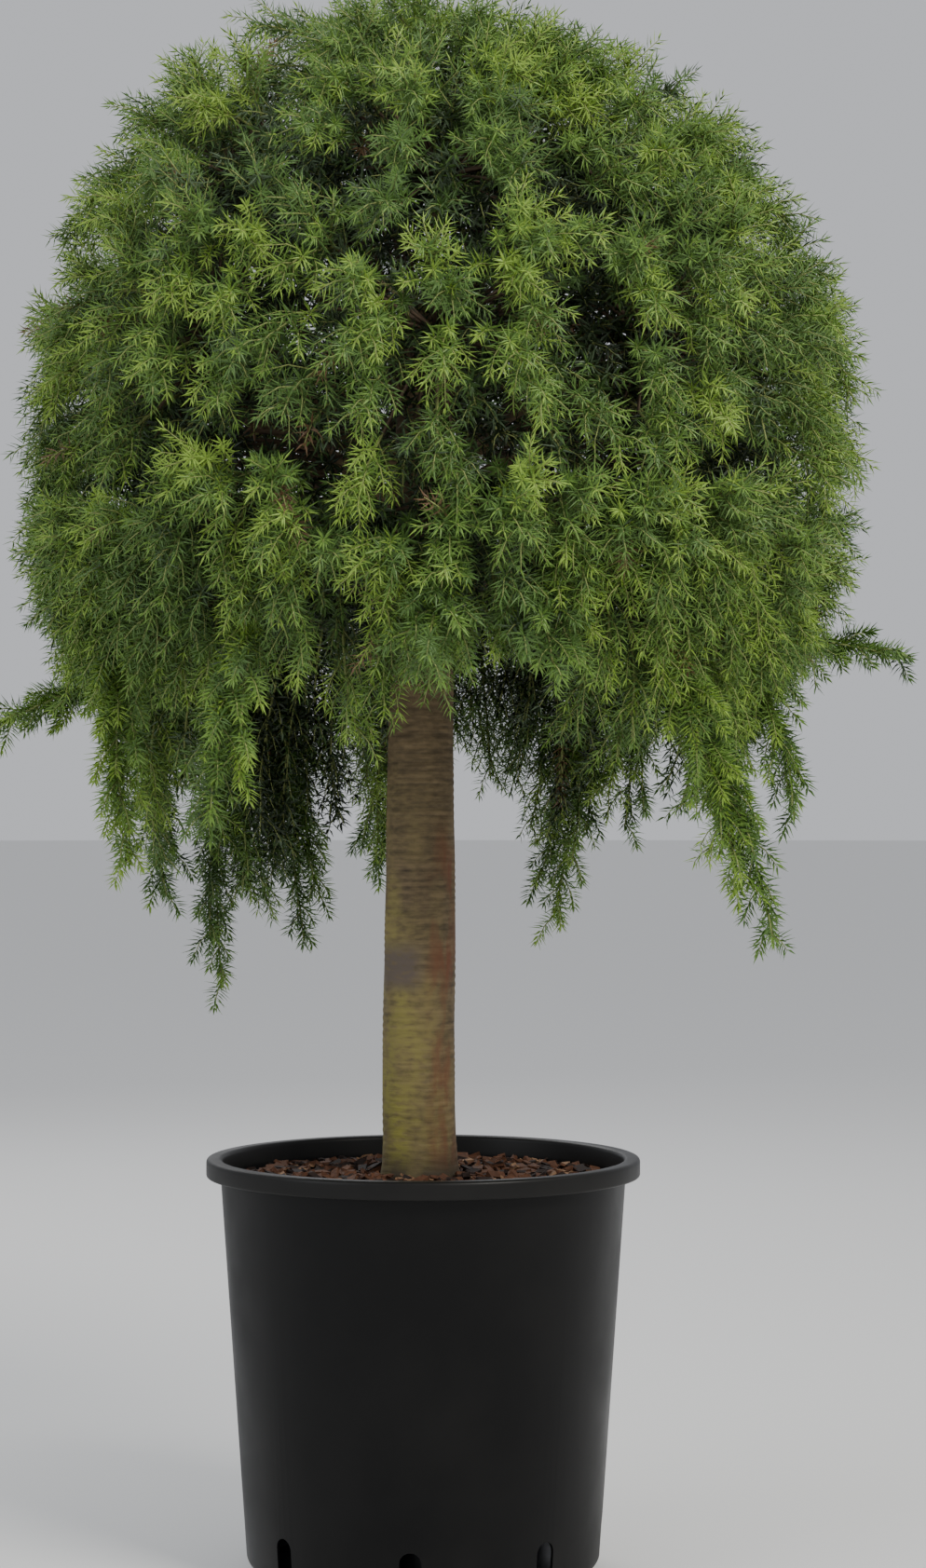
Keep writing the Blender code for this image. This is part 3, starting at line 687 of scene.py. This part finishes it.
def ring_growth(ring, settings):
    """Branches of a ring's masses, the light painted into each one's needles, and the hub that each grows
    from.
    """
    outer, inner = settings.outer_branches, settings.inner_branches
    layers = ((outer, *OUTER_LAYER), (inner, *INNER_LAYER), (round(DEEP_SHARE * inner), *DEEP_LAYER))
    branches, light, hubs = [], [], []

    def keep(grown, lit, hub):
        """Adds grown branches with their light and hub."""
        branches.append(grown)
        light.append(np.full(len(grown), lit))
        hubs.append(np.broadcast_to(hub, (len(grown), 3)))

    if ring == "upper":
        hub = CENTRE + (0.0, 0.0, TOP_RADIUS - CAP_HUB_DEPTH)
        for count, depth, lit in layers:
            keep(cap_branches(round(CAP_SHARE * count), depth), lit, hub)
    masses, turn, low, high = next(row[1:] for row in RINGS if row[0] == ring)
    half = math.pi / masses
    old = lining(max(low, LINING_EDGE), POLE if ring == "upper" else high, LINING_COUNTS[ring])
    # The lining gets no light: its needles are painted in deep shade
    keep(old, 0.0, CENTRE + 0.5 * (old[:, 0] - CENTRE))
    for index in range(masses):
        azimuth = turn + 2.0 * half * index
        bottom, floor, fullness = low, MASS_FLOOR, 1.0
        if ring == "lower":
            bottom, floor = skirt_elevation(SKIRT_HEIGHTS[index]), SKIRT_FLOOR
            fullness = (CENTRE[2] - SKIRT_HEIGHTS[index]) / SKIRT_DROP
        hub = skin_point(azimuth, 0.5 * (bottom + high) + HUB_RISE, HUB_DEPTH)
        for layer, (count, depth, lit) in enumerate(layers):
            seed = index + LAYER_STEP * layer
            number = round(fullness * count)
            keep(cell_branches(azimuth, half, bottom, high, floor, number, seed, depth), lit, hub)
        if ring == "lower":
            keep(long_branches(azimuth, half, bottom, high), LONG_LIGHT, hub)
    return np.concatenate(branches), np.concatenate(light), np.concatenate(hubs)


def plain_finish(name, colour, roughness):
    """A material of one plain colour."""
    material = bpy.data.materials.new(name)
    material.use_nodes = True
    shader = material.node_tree.nodes["Principled BSDF"]
    shader.inputs["Base Color"].default_value = (*colour, 1.0)
    shader.inputs["Roughness"].default_value = roughness
    return material


class Finish:
    """Builds a node material step by step; every node is added by name and linked by value."""

    def __init__(self, name, roughness, gloss=0.3):
        self.material = bpy.data.materials.new(name)
        self.material.use_nodes = True
        self.tree = self.material.node_tree
        self.shader = self.tree.nodes["Principled BSDF"]
        self.shader.inputs["Roughness"].default_value = roughness
        self.shader.inputs["Specular IOR Level"].default_value = gloss
        self.place = self.tree.nodes.new("ShaderNodeTexCoord").outputs["Object"]

    def set(self, socket, value):
        """Links an output, or sets a plain value."""
        if isinstance(value, bpy.types.NodeSocket):
            self.tree.links.new(value, socket)
        elif isinstance(value, (tuple, list)) and socket.type == "RGBA":
            socket.default_value = (*value[:3], 1.0)
        else:
            socket.default_value = value

    def scaled(self, scale, shift=(0.0, 0.0, 0.0)):
        """Object coordinates stretched by a scale."""
        node = self.tree.nodes.new("ShaderNodeMapping")
        self.set(node.inputs["Vector"], self.place)
        node.inputs["Scale"].default_value = scale
        node.inputs["Location"].default_value = shift
        return node.outputs["Vector"]

    def noise(self, place, scale, detail=4.0):
        """Noise from 0 to 1."""
        node = self.tree.nodes.new("ShaderNodeTexNoise")
        self.set(node.inputs["Vector"], place)
        node.inputs["Scale"].default_value = scale
        node.inputs["Detail"].default_value = detail
        return node.outputs["Fac"]

    def spread(self, value, low, high, first=0.0, last=1.0):
        """A value stretched from low..high to first..last."""
        node = self.tree.nodes.new("ShaderNodeMapRange")
        self.set(node.inputs["Value"], value)
        node.inputs["From Min"].default_value = low
        node.inputs["From Max"].default_value = high
        node.inputs["To Min"].default_value = first
        node.inputs["To Max"].default_value = last
        return node.outputs["Result"]

    def arithmetic(self, operation, first, second):
        """Arithmetic on two values, held from 0 to 1."""
        node = self.tree.nodes.new("ShaderNodeMath")
        node.operation = operation
        node.use_clamp = True
        self.set(node.inputs[0], first)
        self.set(node.inputs[1], second)
        return node.outputs["Value"]

    def plus(self, first, second):
        """The sum of two values."""
        return self.arithmetic("ADD", first, second)

    def times(self, first, second):
        """The product of two values."""
        return self.arithmetic("MULTIPLY", first, second)

    def mix(self, share, first, second):
        """A mix of two colours."""
        node = self.tree.nodes.new("ShaderNodeMix")
        node.data_type = "RGBA"
        self.set(node.inputs["Factor"], share)
        self.set(node.inputs[MIX_FIRST], first)
        self.set(node.inputs[MIX_SECOND], second)
        return node.outputs[MIX_RESULT]

    def axes(self):
        """The three object coordinates, by name."""
        node = self.tree.nodes.new("ShaderNodeSeparateXYZ")
        self.set(node.inputs["Vector"], self.place)
        return node.outputs

    def bump(self, height, strength, distance):
        """Relief for the light only."""
        node = self.tree.nodes.new("ShaderNodeBump")
        node.inputs["Strength"].default_value = strength
        node.inputs["Distance"].default_value = distance
        self.set(node.inputs["Height"], height)
        self.set(self.shader.inputs["Normal"], node.outputs["Normal"])


def bark_finish(settings):
    """Bark: grey-brown with fine level rings, an algae film low down, brick-red peeled patches."""
    finish = Finish("juniper_bark", roughness=0.78)
    axes = finish.axes()
    x, z = axes["X"], axes["Z"]
    rings = finish.noise(finish.scaled((14.0, 14.0, 260.0)), 1.0, 5.0)
    blotch = finish.noise(finish.scaled((26.0, 26.0, 13.0)), 1.0, 6.0)
    fine = finish.noise(finish.place, 420.0, 3.0)
    speckle = finish.noise(finish.scaled((95.0, 95.0, 240.0)), 1.0, 4.0)
    tone = finish.plus(
        finish.spread(rings, 0.30, 0.72, 0.0, 0.45),
        finish.spread(blotch, 0.3, 0.7, 0.0, 0.30),
    )
    tone = finish.plus(tone, finish.spread(speckle, 0.35, 0.65, 0.0, 0.30))
    colour = finish.mix(tone, tuple(settings.shade), tuple(settings.ridge))
    film = finish.times(finish.spread(z, *ALGAE_HEIGHT), finish.spread(x, *ALGAE_SIDE))
    film = finish.times(film, finish.spread(blotch, 0.36, 0.60))
    film = finish.times(film, finish.spread(speckle, 0.34, 0.56, 0.35, 1.0))
    colour = finish.mix(film, colour, tuple(settings.algae))
    peeled = finish.times(finish.spread(z, *PEELED_HEIGHT), finish.spread(x, *PEELED_SIDE))
    patches = finish.noise(finish.scaled((60.0, 60.0, 17.0)), 1.0, 5.0)
    peeled = finish.times(peeled, finish.spread(patches, 0.48, 0.70))
    colour = finish.mix(peeled, colour, tuple(settings.peeled))
    weathered = finish.times(finish.spread(z, *PATCH_FOOT), finish.spread(z, *PATCH_TOP))
    weathered = finish.times(weathered, finish.spread(x, *PATCH_SIDE))
    weathered = finish.times(weathered, finish.spread(speckle, 0.30, 0.50, 0.3, 0.9))
    colour = finish.mix(weathered, colour, tuple(settings.patch))
    # The trunk turns darker towards its foot at the mulch
    foot_darkening = finish.times(finish.spread(z, *FOOT_DARKENING_HEIGHT), finish.spread(blotch, 0.30, 0.55))
    colour = finish.mix(foot_darkening, colour, tuple(settings.shade))
    finish.set(finish.shader.inputs["Base Color"], colour)
    finish.bump(finish.plus(rings, finish.spread(fine, 0.0, 1.0, 0.0, 0.3)), 0.55, 0.0012)
    return finish.material


def plastic_finish(settings):
    """Black plastic with a dull film of dust, thicker at the foot, and a painted highlight on the rim."""
    finish = Finish("nursery_pot_plastic", roughness=0.42, gloss=0.16)
    height = finish.axes()["Z"]
    cloud = finish.noise(finish.place, 9.0, 5.0)
    streak = finish.noise(finish.scaled((30.0, 30.0, 4.0)), 1.0, 4.0)
    lip = POT_HEIGHT - RIM_DEPTH
    # Painted highlight: the rim is lighter, in the dust colour
    rim = finish.spread(height, lip - 0.002, lip + 0.001, 0.0, 0.55)
    foot = finish.spread(height, 0.07, 0.0, 0.0, 0.5)
    film = finish.plus(finish.times(finish.spread(cloud, 0.42, 0.75), 0.30), rim)
    film = finish.plus(film, finish.times(foot, finish.spread(streak, 0.35, 0.7)))
    colour = finish.mix(film, tuple(settings.plastic), tuple(settings.dust_and_rim_highlight))
    finish.set(finish.shader.inputs["Base Color"], colour)
    finish.set(finish.shader.inputs["Roughness"], finish.spread(cloud, 0.3, 0.7, 0.34, 0.52))
    finish.bump(finish.noise(finish.place, 700.0, 2.0), 0.12, 0.0004)
    return finish.material


def chip_finish(name, colour, dark):
    """Bark chips: fibrous brown with dark grain."""
    finish = Finish(name, roughness=0.80)
    grain = finish.noise(finish.scaled((1.0, 0.35, 1.0)), 260.0, 5.0)
    cloud = finish.noise(finish.place, 60.0, 3.0)
    tone = finish.times(finish.spread(grain, 0.3, 0.68), finish.spread(cloud, 0.2, 0.8, 0.45, 1.0))
    finish.set(finish.shader.inputs["Base Color"], finish.mix(tone, dark, colour))
    finish.bump(grain, 0.6, 0.0010)
    return finish.material


def closed_rings(grid, start, end):
    """A closed surface through rings of points: walls between them, and a fan to a point at each end."""
    rings, sides = grid.shape[:2]
    here = np.arange(sides)
    after = (here + 1) % sides
    rows = np.arange(rings - 1)[:, None] * sides
    a, b = rows + here, rows + after
    walls = np.concatenate((np.stack((a, b, b + sides), -1), np.stack((a, b + sides, a + sides), -1)), 1)
    last, centre = (rings - 1) * sides, rings * sides
    fans = (
        np.stack((after, here, np.full(sides, centre)), -1),
        np.stack((last + here, last + after, np.full(sides, centre + 1)), -1),
    )
    return np.concatenate((grid.reshape(-1, 3), (start, end))), np.concatenate((walls.reshape(-1, 3), *fans))


def lathe(profile, sides):
    """A closed turned solid: the profile's points carried round the axis, with a point at each end."""
    radius, height = np.array(profile[1:-1]).T[..., None]
    turn = FULL_TURN * np.arange(sides) / sides
    x, y = radius * np.cos(turn), radius * np.sin(turn)
    grid = np.stack((x, y, np.broadcast_to(height, x.shape)), -1)
    return closed_rings(grid, (0.0, 0.0, profile[0][1]), (0.0, 0.0, profile[-1][1]))


def rounded(corner_from, corner, corner_to, radius, steps):
    """Points round a corner: the quadratic curve between the two edges at a distance from the corner."""
    corner = np.array(corner)
    first = corner + radius * unit(np.array(corner_from) - corner)
    last = corner + radius * unit(np.array(corner_to) - corner)
    t = np.linspace(0.0, 1.0, steps + 1)[:, None]
    return (1.0 - t) ** 2 * first + 2.0 * t * (1.0 - t) * corner + t**2 * last


def pot_outline():
    """Outline of half the pot with its rolled rim, every corner rounded."""
    top, lip = POT_HEIGHT, POT_HEIGHT - RIM_DEPTH
    corners = (
        ((0.0, 0.0), 0.0),
        ((UNDERSIDE_RADIUS, 0.0), 0.003),
        ((WALL_FOOT_RADIUS, FOOT_HEIGHT), 0.004),
        ((WALL_TOP_RADIUS, lip), 0.0006),
        ((RIM_RADIUS, lip), 0.0024),
        ((RIM_RADIUS, top), 0.0040),
        ((WALL_TOP_RADIUS - 0.5 * WALL, top), 0.0040),
        ((WALL_TOP_RADIUS - WALL, lip), 0.002),
        ((WALL_FOOT_RADIUS - WALL, FOOT_HEIGHT), 0.003),
        ((UNDERSIDE_RADIUS, FLOOR), 0.002),
        ((0.0, FLOOR), 0.0),
    )
    outline = [corners[0][0]]
    for before, (corner, radius), after in zip(corners, corners[1:], corners[2:]):
        outline.extend(map(tuple, rounded(before[0], corner, after[0], radius, CORNER_STEPS)))
    outline.append(corners[-1][0])
    return outline


def slot_guides():
    """Plates with arched tops that cut the drain slots: an outline carried outwards through the wall."""
    half = 0.5 * SLOT_WIDTH
    angle = np.linspace(0.0, math.pi, ARCH_POINTS)
    across = np.concatenate(((-half, half), half * np.cos(angle)))
    height = np.concatenate(((SLOT_FOOT, SLOT_FOOT), SLOT_TOP - half + half * np.sin(angle)))
    count = len(across)
    parts = []
    for index in range(SLOT_COUNT):
        turn = FIRST_SLOT + index * FULL_TURN / SLOT_COUNT
        ends = []
        for radius in (UNDERSIDE_RADIUS - 2.0 * WALL, RIM_RADIUS):
            x = radius * math.cos(turn) - across * math.sin(turn)
            y = radius * math.sin(turn) + across * math.cos(turn)
            ends.append(np.stack((x, y, height), -1))
        here = np.arange(count)
        after = (here + 1) % count
        fan = np.arange(1, count - 1)
        faces = np.concatenate(
            (
                np.stack((here, after, after + count), -1),
                np.stack((here, after + count, here + count), -1),
                np.stack((np.zeros_like(fan), fan + 1, fan), -1),
                np.stack((np.full_like(fan, count), fan + count, fan + 1 + count), -1),
            )
        )
        parts.append((np.concatenate(ends), faces))
    return merged(parts)


def drop_object(item):
    """Removes an object and its mesh."""
    mesh = item.data
    bpy.data.objects.remove(item)
    bpy.data.meshes.remove(mesh)


class JUNIPER_OT_pot(bpy.types.Operator):
    """Turn the pot and cut its drain slots"""

    bl_idname = "juniper.pot"
    bl_label = "Pot"

    def execute(self, context):
        plastic = plastic_finish(context.scene.juniper_pot)
        piece = add_piece("nursery_pot", *lathe(pot_outline(), POT_SIDES), plastic, "pot_plastic")
        guide = add_piece("slot_guide", *slot_guides(), plastic, None, smooth=False)
        cut = piece.modifiers.new("drain_slots", "BOOLEAN")
        cut.operation = "DIFFERENCE"
        cut.solver = "EXACT"
        cut.object = guide
        depsgraph = context.evaluated_depsgraph_get()
        mesh = bpy.data.meshes.new_from_object(piece.evaluated_get(depsgraph))
        piece.modifiers.remove(cut)
        piece.data = mesh
        mesh.shade_smooth()
        mesh.set_sharp_from_angle(angle=CREASE)
        drop_object(guide)
        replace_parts(piece, "pot")
        return {"FINISHED"}


def heap_height(radius):
    """Height of the growing medium at a distance from the axis: a low heap."""
    return MEDIUM_HEIGHT - HEAP_FALL * (radius / MEDIUM_RADIUS) ** 2


def mulch_bed():
    """Bed under the chips: an open disc whose height is the heap with three waves of unevenness."""
    radius = np.linspace(BED_START, MEDIUM_RADIUS, BED_RINGS)[:, None]
    turn = FULL_TURN * np.arange(BED_SIDES) / BED_SIDES
    x = radius * np.cos(turn)
    y = radius * np.sin(turn)
    waves = 0.0018 * np.sin(97.0 * x + 2.0 * np.sin(71.0 * y)) + 0.0012 * np.sin(163.0 * y + 131.0 * x)
    z = heap_height(radius) + waves + 0.0008 * np.sin(389.0 * x) * np.sin(353.0 * y)
    points = np.stack((x, y, z), -1).reshape(-1, 3)
    middle = np.array(((0.0, 0.0, MEDIUM_HEIGHT),))
    here = np.arange(BED_SIDES)
    after = (here + 1) % BED_SIDES
    rows = np.arange(BED_RINGS - 1)[:, None] * BED_SIDES
    a, b = rows + here, rows + after
    c, d = b + BED_SIDES, a + BED_SIDES
    walls = np.concatenate((np.stack((a, d, c), -1), np.stack((a, c, b), -1)), 1)
    fan = np.stack((here, after, np.full(BED_SIDES, BED_RINGS * BED_SIDES)), -1)
    return np.concatenate((points, middle)), np.concatenate((walls.reshape(-1, 3), fan))


def chip_meshes(count, size, seed):
    """Bark chips: eight-cornered slabs, longer than wide, wider than thick, turned and tilted at random."""
    rng = np.random.default_rng(seed)
    edge = MEDIUM_RADIUS - CHIP_CLEARANCE * size
    reach = np.sqrt(CHIP_FOOT**2 + (edge**2 - CHIP_FOOT**2) * rng.random(count))
    turn = rng.uniform(0.0, FULL_TURN, count)
    length = size * np.exp(np.minimum(rng.normal(0.0, CHIP_VARIETY, count), CHIP_LONGEST))
    reach = np.minimum(reach, MEDIUM_RADIUS - CHIP_CLEARANCE * length)
    width = length * rng.uniform(*CHIP_WIDTHS, count)
    thickness = length * rng.uniform(*CHIP_THICKNESSES, count)
    half = 0.5 * np.stack((length, width, thickness), -1)
    signs = np.array([(x, y, z) for z in (-1, 1) for y in (-1, 1) for x in (-1, 1)], dtype=float)
    corners = signs * half[:, None] * rng.uniform(*CHIP_CORNERS, (count, 8, 3))
    spin = rng.uniform(0.0, FULL_TURN, count)
    tilt = rng.normal(0.0, CHIP_TILT, count)
    roll = rng.normal(0.0, CHIP_ROLL, count)
    for angle, (i, j) in ((tilt, (0, 2)), (roll, (1, 2)), (spin, (0, 1))):
        c, s = np.cos(angle)[:, None], np.sin(angle)[:, None]
        first = c * corners[..., i] - s * corners[..., j]
        corners[..., j] = s * corners[..., i] + c * corners[..., j]
        corners[..., i] = first
    height = heap_height(reach) + rng.uniform(*CHIP_HEIGHTS, count)
    centre = np.stack((reach * np.cos(turn), reach * np.sin(turn), height), -1)
    points = (centre[:, None] + corners).reshape(-1, 3)
    quads = np.array(((0, 2, 3, 1), (4, 5, 7, 6), (0, 1, 5, 4), (2, 6, 7, 3), (0, 4, 6, 2), (1, 3, 7, 5)))
    faces = (8 * np.arange(count)[:, None, None] + quads).reshape(-1, 4)
    return points, faces


class JUNIPER_OT_mulch(bpy.types.Operator):
    """Lay the top of the bark mulch and its chips"""

    bl_idname = "juniper.mulch"
    bl_label = "Mulch"

    def execute(self, context):
        settings = context.scene.juniper_pot
        dark = tuple(settings.chip_dark)
        bed = chip_finish("mulch_bed_bark", tuple(BED_DARKENING * c for c in settings.chip_brown), dark)
        piece = add_piece("mulch_bed", *mulch_bed(), bed, "bark_mulch")
        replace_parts(piece, "growing_medium")
        kinds = (
            ("mulch_chips_dark", 0.34, dark, 0.95),
            ("mulch_chips_brown", 0.50, tuple(settings.chip_brown), 1.0),
            ("mulch_chips_tan", 0.16, tuple(settings.chip_tan), 0.72),
        )
        for number, (name, share, colour, scale) in enumerate(kinds):
            count = round(share * settings.chip_count)
            finish = chip_finish(name + "_finish", colour, tuple(GRAIN_DARKENING * c for c in colour))
            mesh = chip_meshes(count, scale * settings.chip_size, SEED + number)
            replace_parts(add_piece(name, *mesh, finish, "bark_mulch", smooth=False), "growing_medium")
        return {"FINISHED"}


def bark_relief(turn, height):
    """Relief from about -1.4 to 1.4: level rings, broken round the limb, and long shallow furrows."""
    rings = np.sin(900.0 * height + 3.0 * np.sin(2.0 * turn + 40.0 * height))
    rings = rings * (0.5 + 0.5 * np.sin(5.0 * turn + 70.0 * height))
    furrows = np.sin(7.0 * turn + 2.0 * np.sin(23.0 * height)) + 0.6 * np.sin(3.0 * turn - 9.0 * height + 1.0)
    return 0.35 * rings + 0.65 * furrows


def trunk_mesh(relief):
    """The trunk: its radius by height, with the bark's relief and a slight waviness."""
    height = np.linspace(TRUNK_PROFILE[0][0], TRUNK_PROFILE[-1][0], TRUNK_ROWS)[:, None]
    profile = np.array(TRUNK_PROFILE)
    radius = np.interp(height, profile[:, 0], profile[:, 1])
    turn = (FULL_TURN * np.arange(TRUNK_SIDES) / TRUNK_SIDES)[None]
    full = radius + relief * bark_relief(turn, height)
    sway = TRUNK_SWAY * np.sin(9.0 * height)
    x = TRUNK_LEAN + sway + full * np.cos(turn)
    y = full * np.sin(turn)
    grid = np.stack((x, y, np.broadcast_to(height, x.shape)), -1)
    foot = (TRUNK_LEAN, 0.0, TRUNK_PROFILE[0][0])
    return closed_rings(grid, foot, (TRUNK_LEAN, 0.0, TRUNK_PROFILE[-1][0] + TRUNK_TIP))


def bough_curves():
    """Each bough's curve: from inside the trunk up and out to the hollow's edge."""
    starts, ends, radii = [], [], []
    for ring, masses, turn, low, high in RINGS:
        for index in range(masses):
            azimuth = turn + FULL_TURN * index / masses
            elevation = high - SKIRT_ENTRY if ring == "lower" else 0.5 * (low + high)
            height, radius = BOUGH_ROOTS[ring]
            height += ROOT_STAGGER * (index % 2)
            starts.append((TRUNK_LEAN, 0.0, height) + BOUGH_INSET * direction(azimuth, 0.0))
            ends.append(CENTRE + direction(azimuth, elevation) * (HOLLOW_RADIUS + BOUGH_REACH))
            radii.append(radius)
    starts, ends = np.array(starts), np.array(ends)
    return arched(starts, ends, BOUGH_ARCH, UP), np.array(radii)


class JUNIPER_OT_bark(bpy.types.Operator):
    """Clothe the trunk and the boughs in bark"""

    bl_idname = "juniper.bark"
    bl_label = "Bark"

    def execute(self, context):
        settings = context.scene.juniper_bark
        bark = bark_finish(settings)
        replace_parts(add_piece("trunk_bark", *trunk_mesh(settings.relief), bark, "bark"), "trunk")
        curves, radii = bough_curves()
        limbs = tubes(curves, BARK_FOOT * radii, BARK_TIP * BOUGH_TIP_RADIUS, BOUGH_SIDES, BOUGH_STEPS)
        boughs = add_piece("bough_bark", *limbs, bark, "bark")
        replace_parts(boughs, *[name for name in NODES if name.startswith("bough_")])
        return {"FINISHED"}


class JUNIPER_OT_foliage(bpy.types.Operator):
    """Grow branches, side shoots and needles"""

    bl_idname = "juniper.foliage"
    bl_label = "Foliage"

    def execute(self, context):
        settings = context.scene.juniper_foliage
        needles = {}
        for shade in SHADES:
            needles[shade] = plain_finish(f"needles_{shade}", getattr(settings, shade), NEEDLE_ROUGHNESS)
        twig = plain_finish("young_twigs", settings.twig, TWIG_ROUGHNESS)
        wood = plain_finish("old_twigs", settings.wood, WOOD_ROUGHNESS)
        for number, (ring, *_) in enumerate(RINGS):
            masses = [name for name in NODES if name.startswith(f"foliage_{ring}")]
            if ring == "upper":
                masses.append("foliage_top")
            self.grow(ring, masses, settings, needles, twig, wood, SEED + number)
        return {"FINISHED"}

    def grow(self, ring, masses, settings, needles, twig, wood, seed):
        """One ring of masses: its wood, its twigs and its needles by shade."""
        rng = np.random.default_rng(seed)
        branches, light, hubs = ring_growth(ring, settings)
        long_ones = light == LONG_LIGHT
        coarse = np.interp(light, COARSE_LIGHTS, COARSE_FACTORS)
        spacing = np.where(long_ones, LONG_SPACING, coarse)
        coarse = np.where(long_ones, LONG_WIDTH, coarse)
        light = light + rng.normal(0.0, BRANCH_LIGHT_PLAY, len(light))
        shoots, owner = grown_shoots(branches, coarse, settings, seed)
        limbs = arched(hubs, branches[:, 0], LIMB_ARCH, UP)
        old = tubes(limbs, LIMB_RADIUS, BRANCH_RADIUS, TWIG_SIDES, LIMB_STEPS)
        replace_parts(add_piece(f"branches_{ring}", *old, wood, "bark"), *masses)
        new = merged((
            tubes(branches, BRANCH_RADIUS, SHOOT_RADIUS, TWIG_SIDES, BRANCH_STEPS),
            tubes(shoots, SHOOT_RADIUS, SHOOT_TIP_RADIUS, TWIG_SIDES, SHOOT_STEPS),
        ))
        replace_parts(add_piece(f"twigs_{ring}", *new, twig, "bark"), *masses)
        curves = np.concatenate((shoots, branches))
        owner = np.concatenate((owner, np.arange(len(branches))))
        bare = np.concatenate((np.full(len(shoots), SHOOT_BARE), np.full(len(branches), BRANCH_BARE)))
        points, who, share = needle_points(curves, bare, spacing[owner], coarse[owner], settings, seed)
        dead = rng.random(len(owner)) < DEAD_SHARE
        # Painted light and shade: each spray's light, with some play, picks its needles' colours
        painted_spray_light = light[owner] + rng.normal(0.0, SPRAY_LIGHT_PLAY, len(owner))
        play = TONE_PLAY * rng.random(len(owner))[who]
        shade = shade_of(share, painted_spray_light[who], dead[who], play)
        for index, name in enumerate(SHADES):
            self.add_needles(f"needles_{ring}_{name}", points[shade == index], needles[name], masses)

    def add_needles(self, title, points, finish, masses):
        """Needles of one shade, in pieces of at most PIECE_NEEDLES."""
        for part, start in enumerate(range(0, len(points), PIECE_NEEDLES)):
            kites = points[start:start + PIECE_NEEDLES]
            faces = (4 * np.arange(len(kites))[:, None, None] + KITE_FACES).reshape(-1, 3)
            name = title + (f"_{part + 1}" if part else "")
            piece = add_piece(name, kites.reshape(-1, 3), faces, finish, "needles", smooth=False)
            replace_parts(piece, *masses)


def add_light(name, power, place, size, colour):
    """A square area light that looks at the head."""
    data = bpy.data.lights.new(name, "AREA")
    data.shape = "SQUARE"
    data.size = size
    data.energy = power
    data.color = colour
    light = bpy.data.objects.new(name, data)
    light.location = place
    ahead = unit(np.array(LIGHT_AIM) - np.array(place))
    light.rotation_euler = (math.acos(-ahead[2]), 0.0, math.atan2(-ahead[0], ahead[1]))
    bpy.context.scene.collection.objects.link(light)


class JUNIPER_OT_stage(bpy.types.Operator):
    """Set the floor, the light and the camera"""

    bl_idname = "juniper.stage"
    bl_label = "Stage"

    def execute(self, context):
        settings = context.scene.juniper_stage
        turn = np.linspace(0.0, FULL_TURN, FLOOR_SIDES, endpoint=False)
        edge = FLOOR_REACH * direction(turn, 0.0)
        pale = plain_finish("studio_floor", settings.floor, roughness=0.9)
        floor = add_piece("studio_floor", edge, np.arange(FLOOR_SIDES)[None], pale, None)
        world = bpy.data.worlds.new("studio")
        world.use_nodes = True
        back = world.node_tree.nodes["Background"]
        back.inputs["Color"].default_value = SKY_COLOUR
        back.inputs["Strength"].default_value = settings.ambient
        context.scene.world = world
        add_light("key_light", settings.key, *KEY_LIGHT)
        add_light("fill_light", settings.fill, *FILL_LIGHT)
        add_light("back_light", settings.fill, *BACK_LIGHT)
        data = bpy.data.cameras.new("photo_view")
        data.sensor_width = SENSOR
        data.lens = FOCAL_PIXELS * SENSOR / PHOTO_SIZE[1]
        data.shift_y = (HORIZON_ROW - 0.5 * PHOTO_SIZE[1]) / PHOTO_SIZE[1]
        camera = bpy.data.objects.new("photo_view", data)
        camera.location = CAMERA_PLACE
        camera.rotation_euler = (POLE, 0.0, 0.0)
        context.scene.collection.objects.link(camera)
        context.scene.camera = camera
        return {"FINISHED"}


OPERATORS = (JUNIPER_OT_pot, JUNIPER_OT_mulch, JUNIPER_OT_bark, JUNIPER_OT_foliage, JUNIPER_OT_stage)


class JUNIPER_PT_panel(bpy.types.Panel):
    """Shows a button for each step that makes the plant's pieces"""

    bl_label = "Potted juniper"
    bl_idname = "JUNIPER_PT_panel"
    bl_space_type = "VIEW_3D"
    bl_region_type = "UI"
    bl_category = "Juniper"

    def draw(self, context):
        for operator in OPERATORS:
            self.layout.operator(operator.bl_idname)


SETTINGS = {
    "juniper_pot": PotSettings,
    "juniper_bark": BarkSettings,
    "juniper_foliage": FoliageSettings,
    "juniper_stage": StageSettings,
}


def register():
    """Registers every class and hangs the settings on the scene."""
    for kind in (*SETTINGS.values(), *OPERATORS, JUNIPER_PT_panel):
        bpy.utils.register_class(kind)
    for name, kind in SETTINGS.items():
        setattr(bpy.types.Scene, name, bpy.props.PointerProperty(type=kind))


def unregister():
    """Takes away what register added."""
    for name in SETTINGS:
        delattr(bpy.types.Scene, name)
    for kind in reversed((*SETTINGS.values(), *OPERATORS, JUNIPER_PT_panel)):
        bpy.utils.unregister_class(kind)


def main():
    """Registers the add-on and makes every piece in order."""
    register()
    bpy.ops.juniper.pot()
    bpy.ops.juniper.mulch()
    bpy.ops.juniper.bark()
    bpy.ops.juniper.foliage()
    bpy.ops.juniper.stage()


if __name__ == "__main__":
    main()
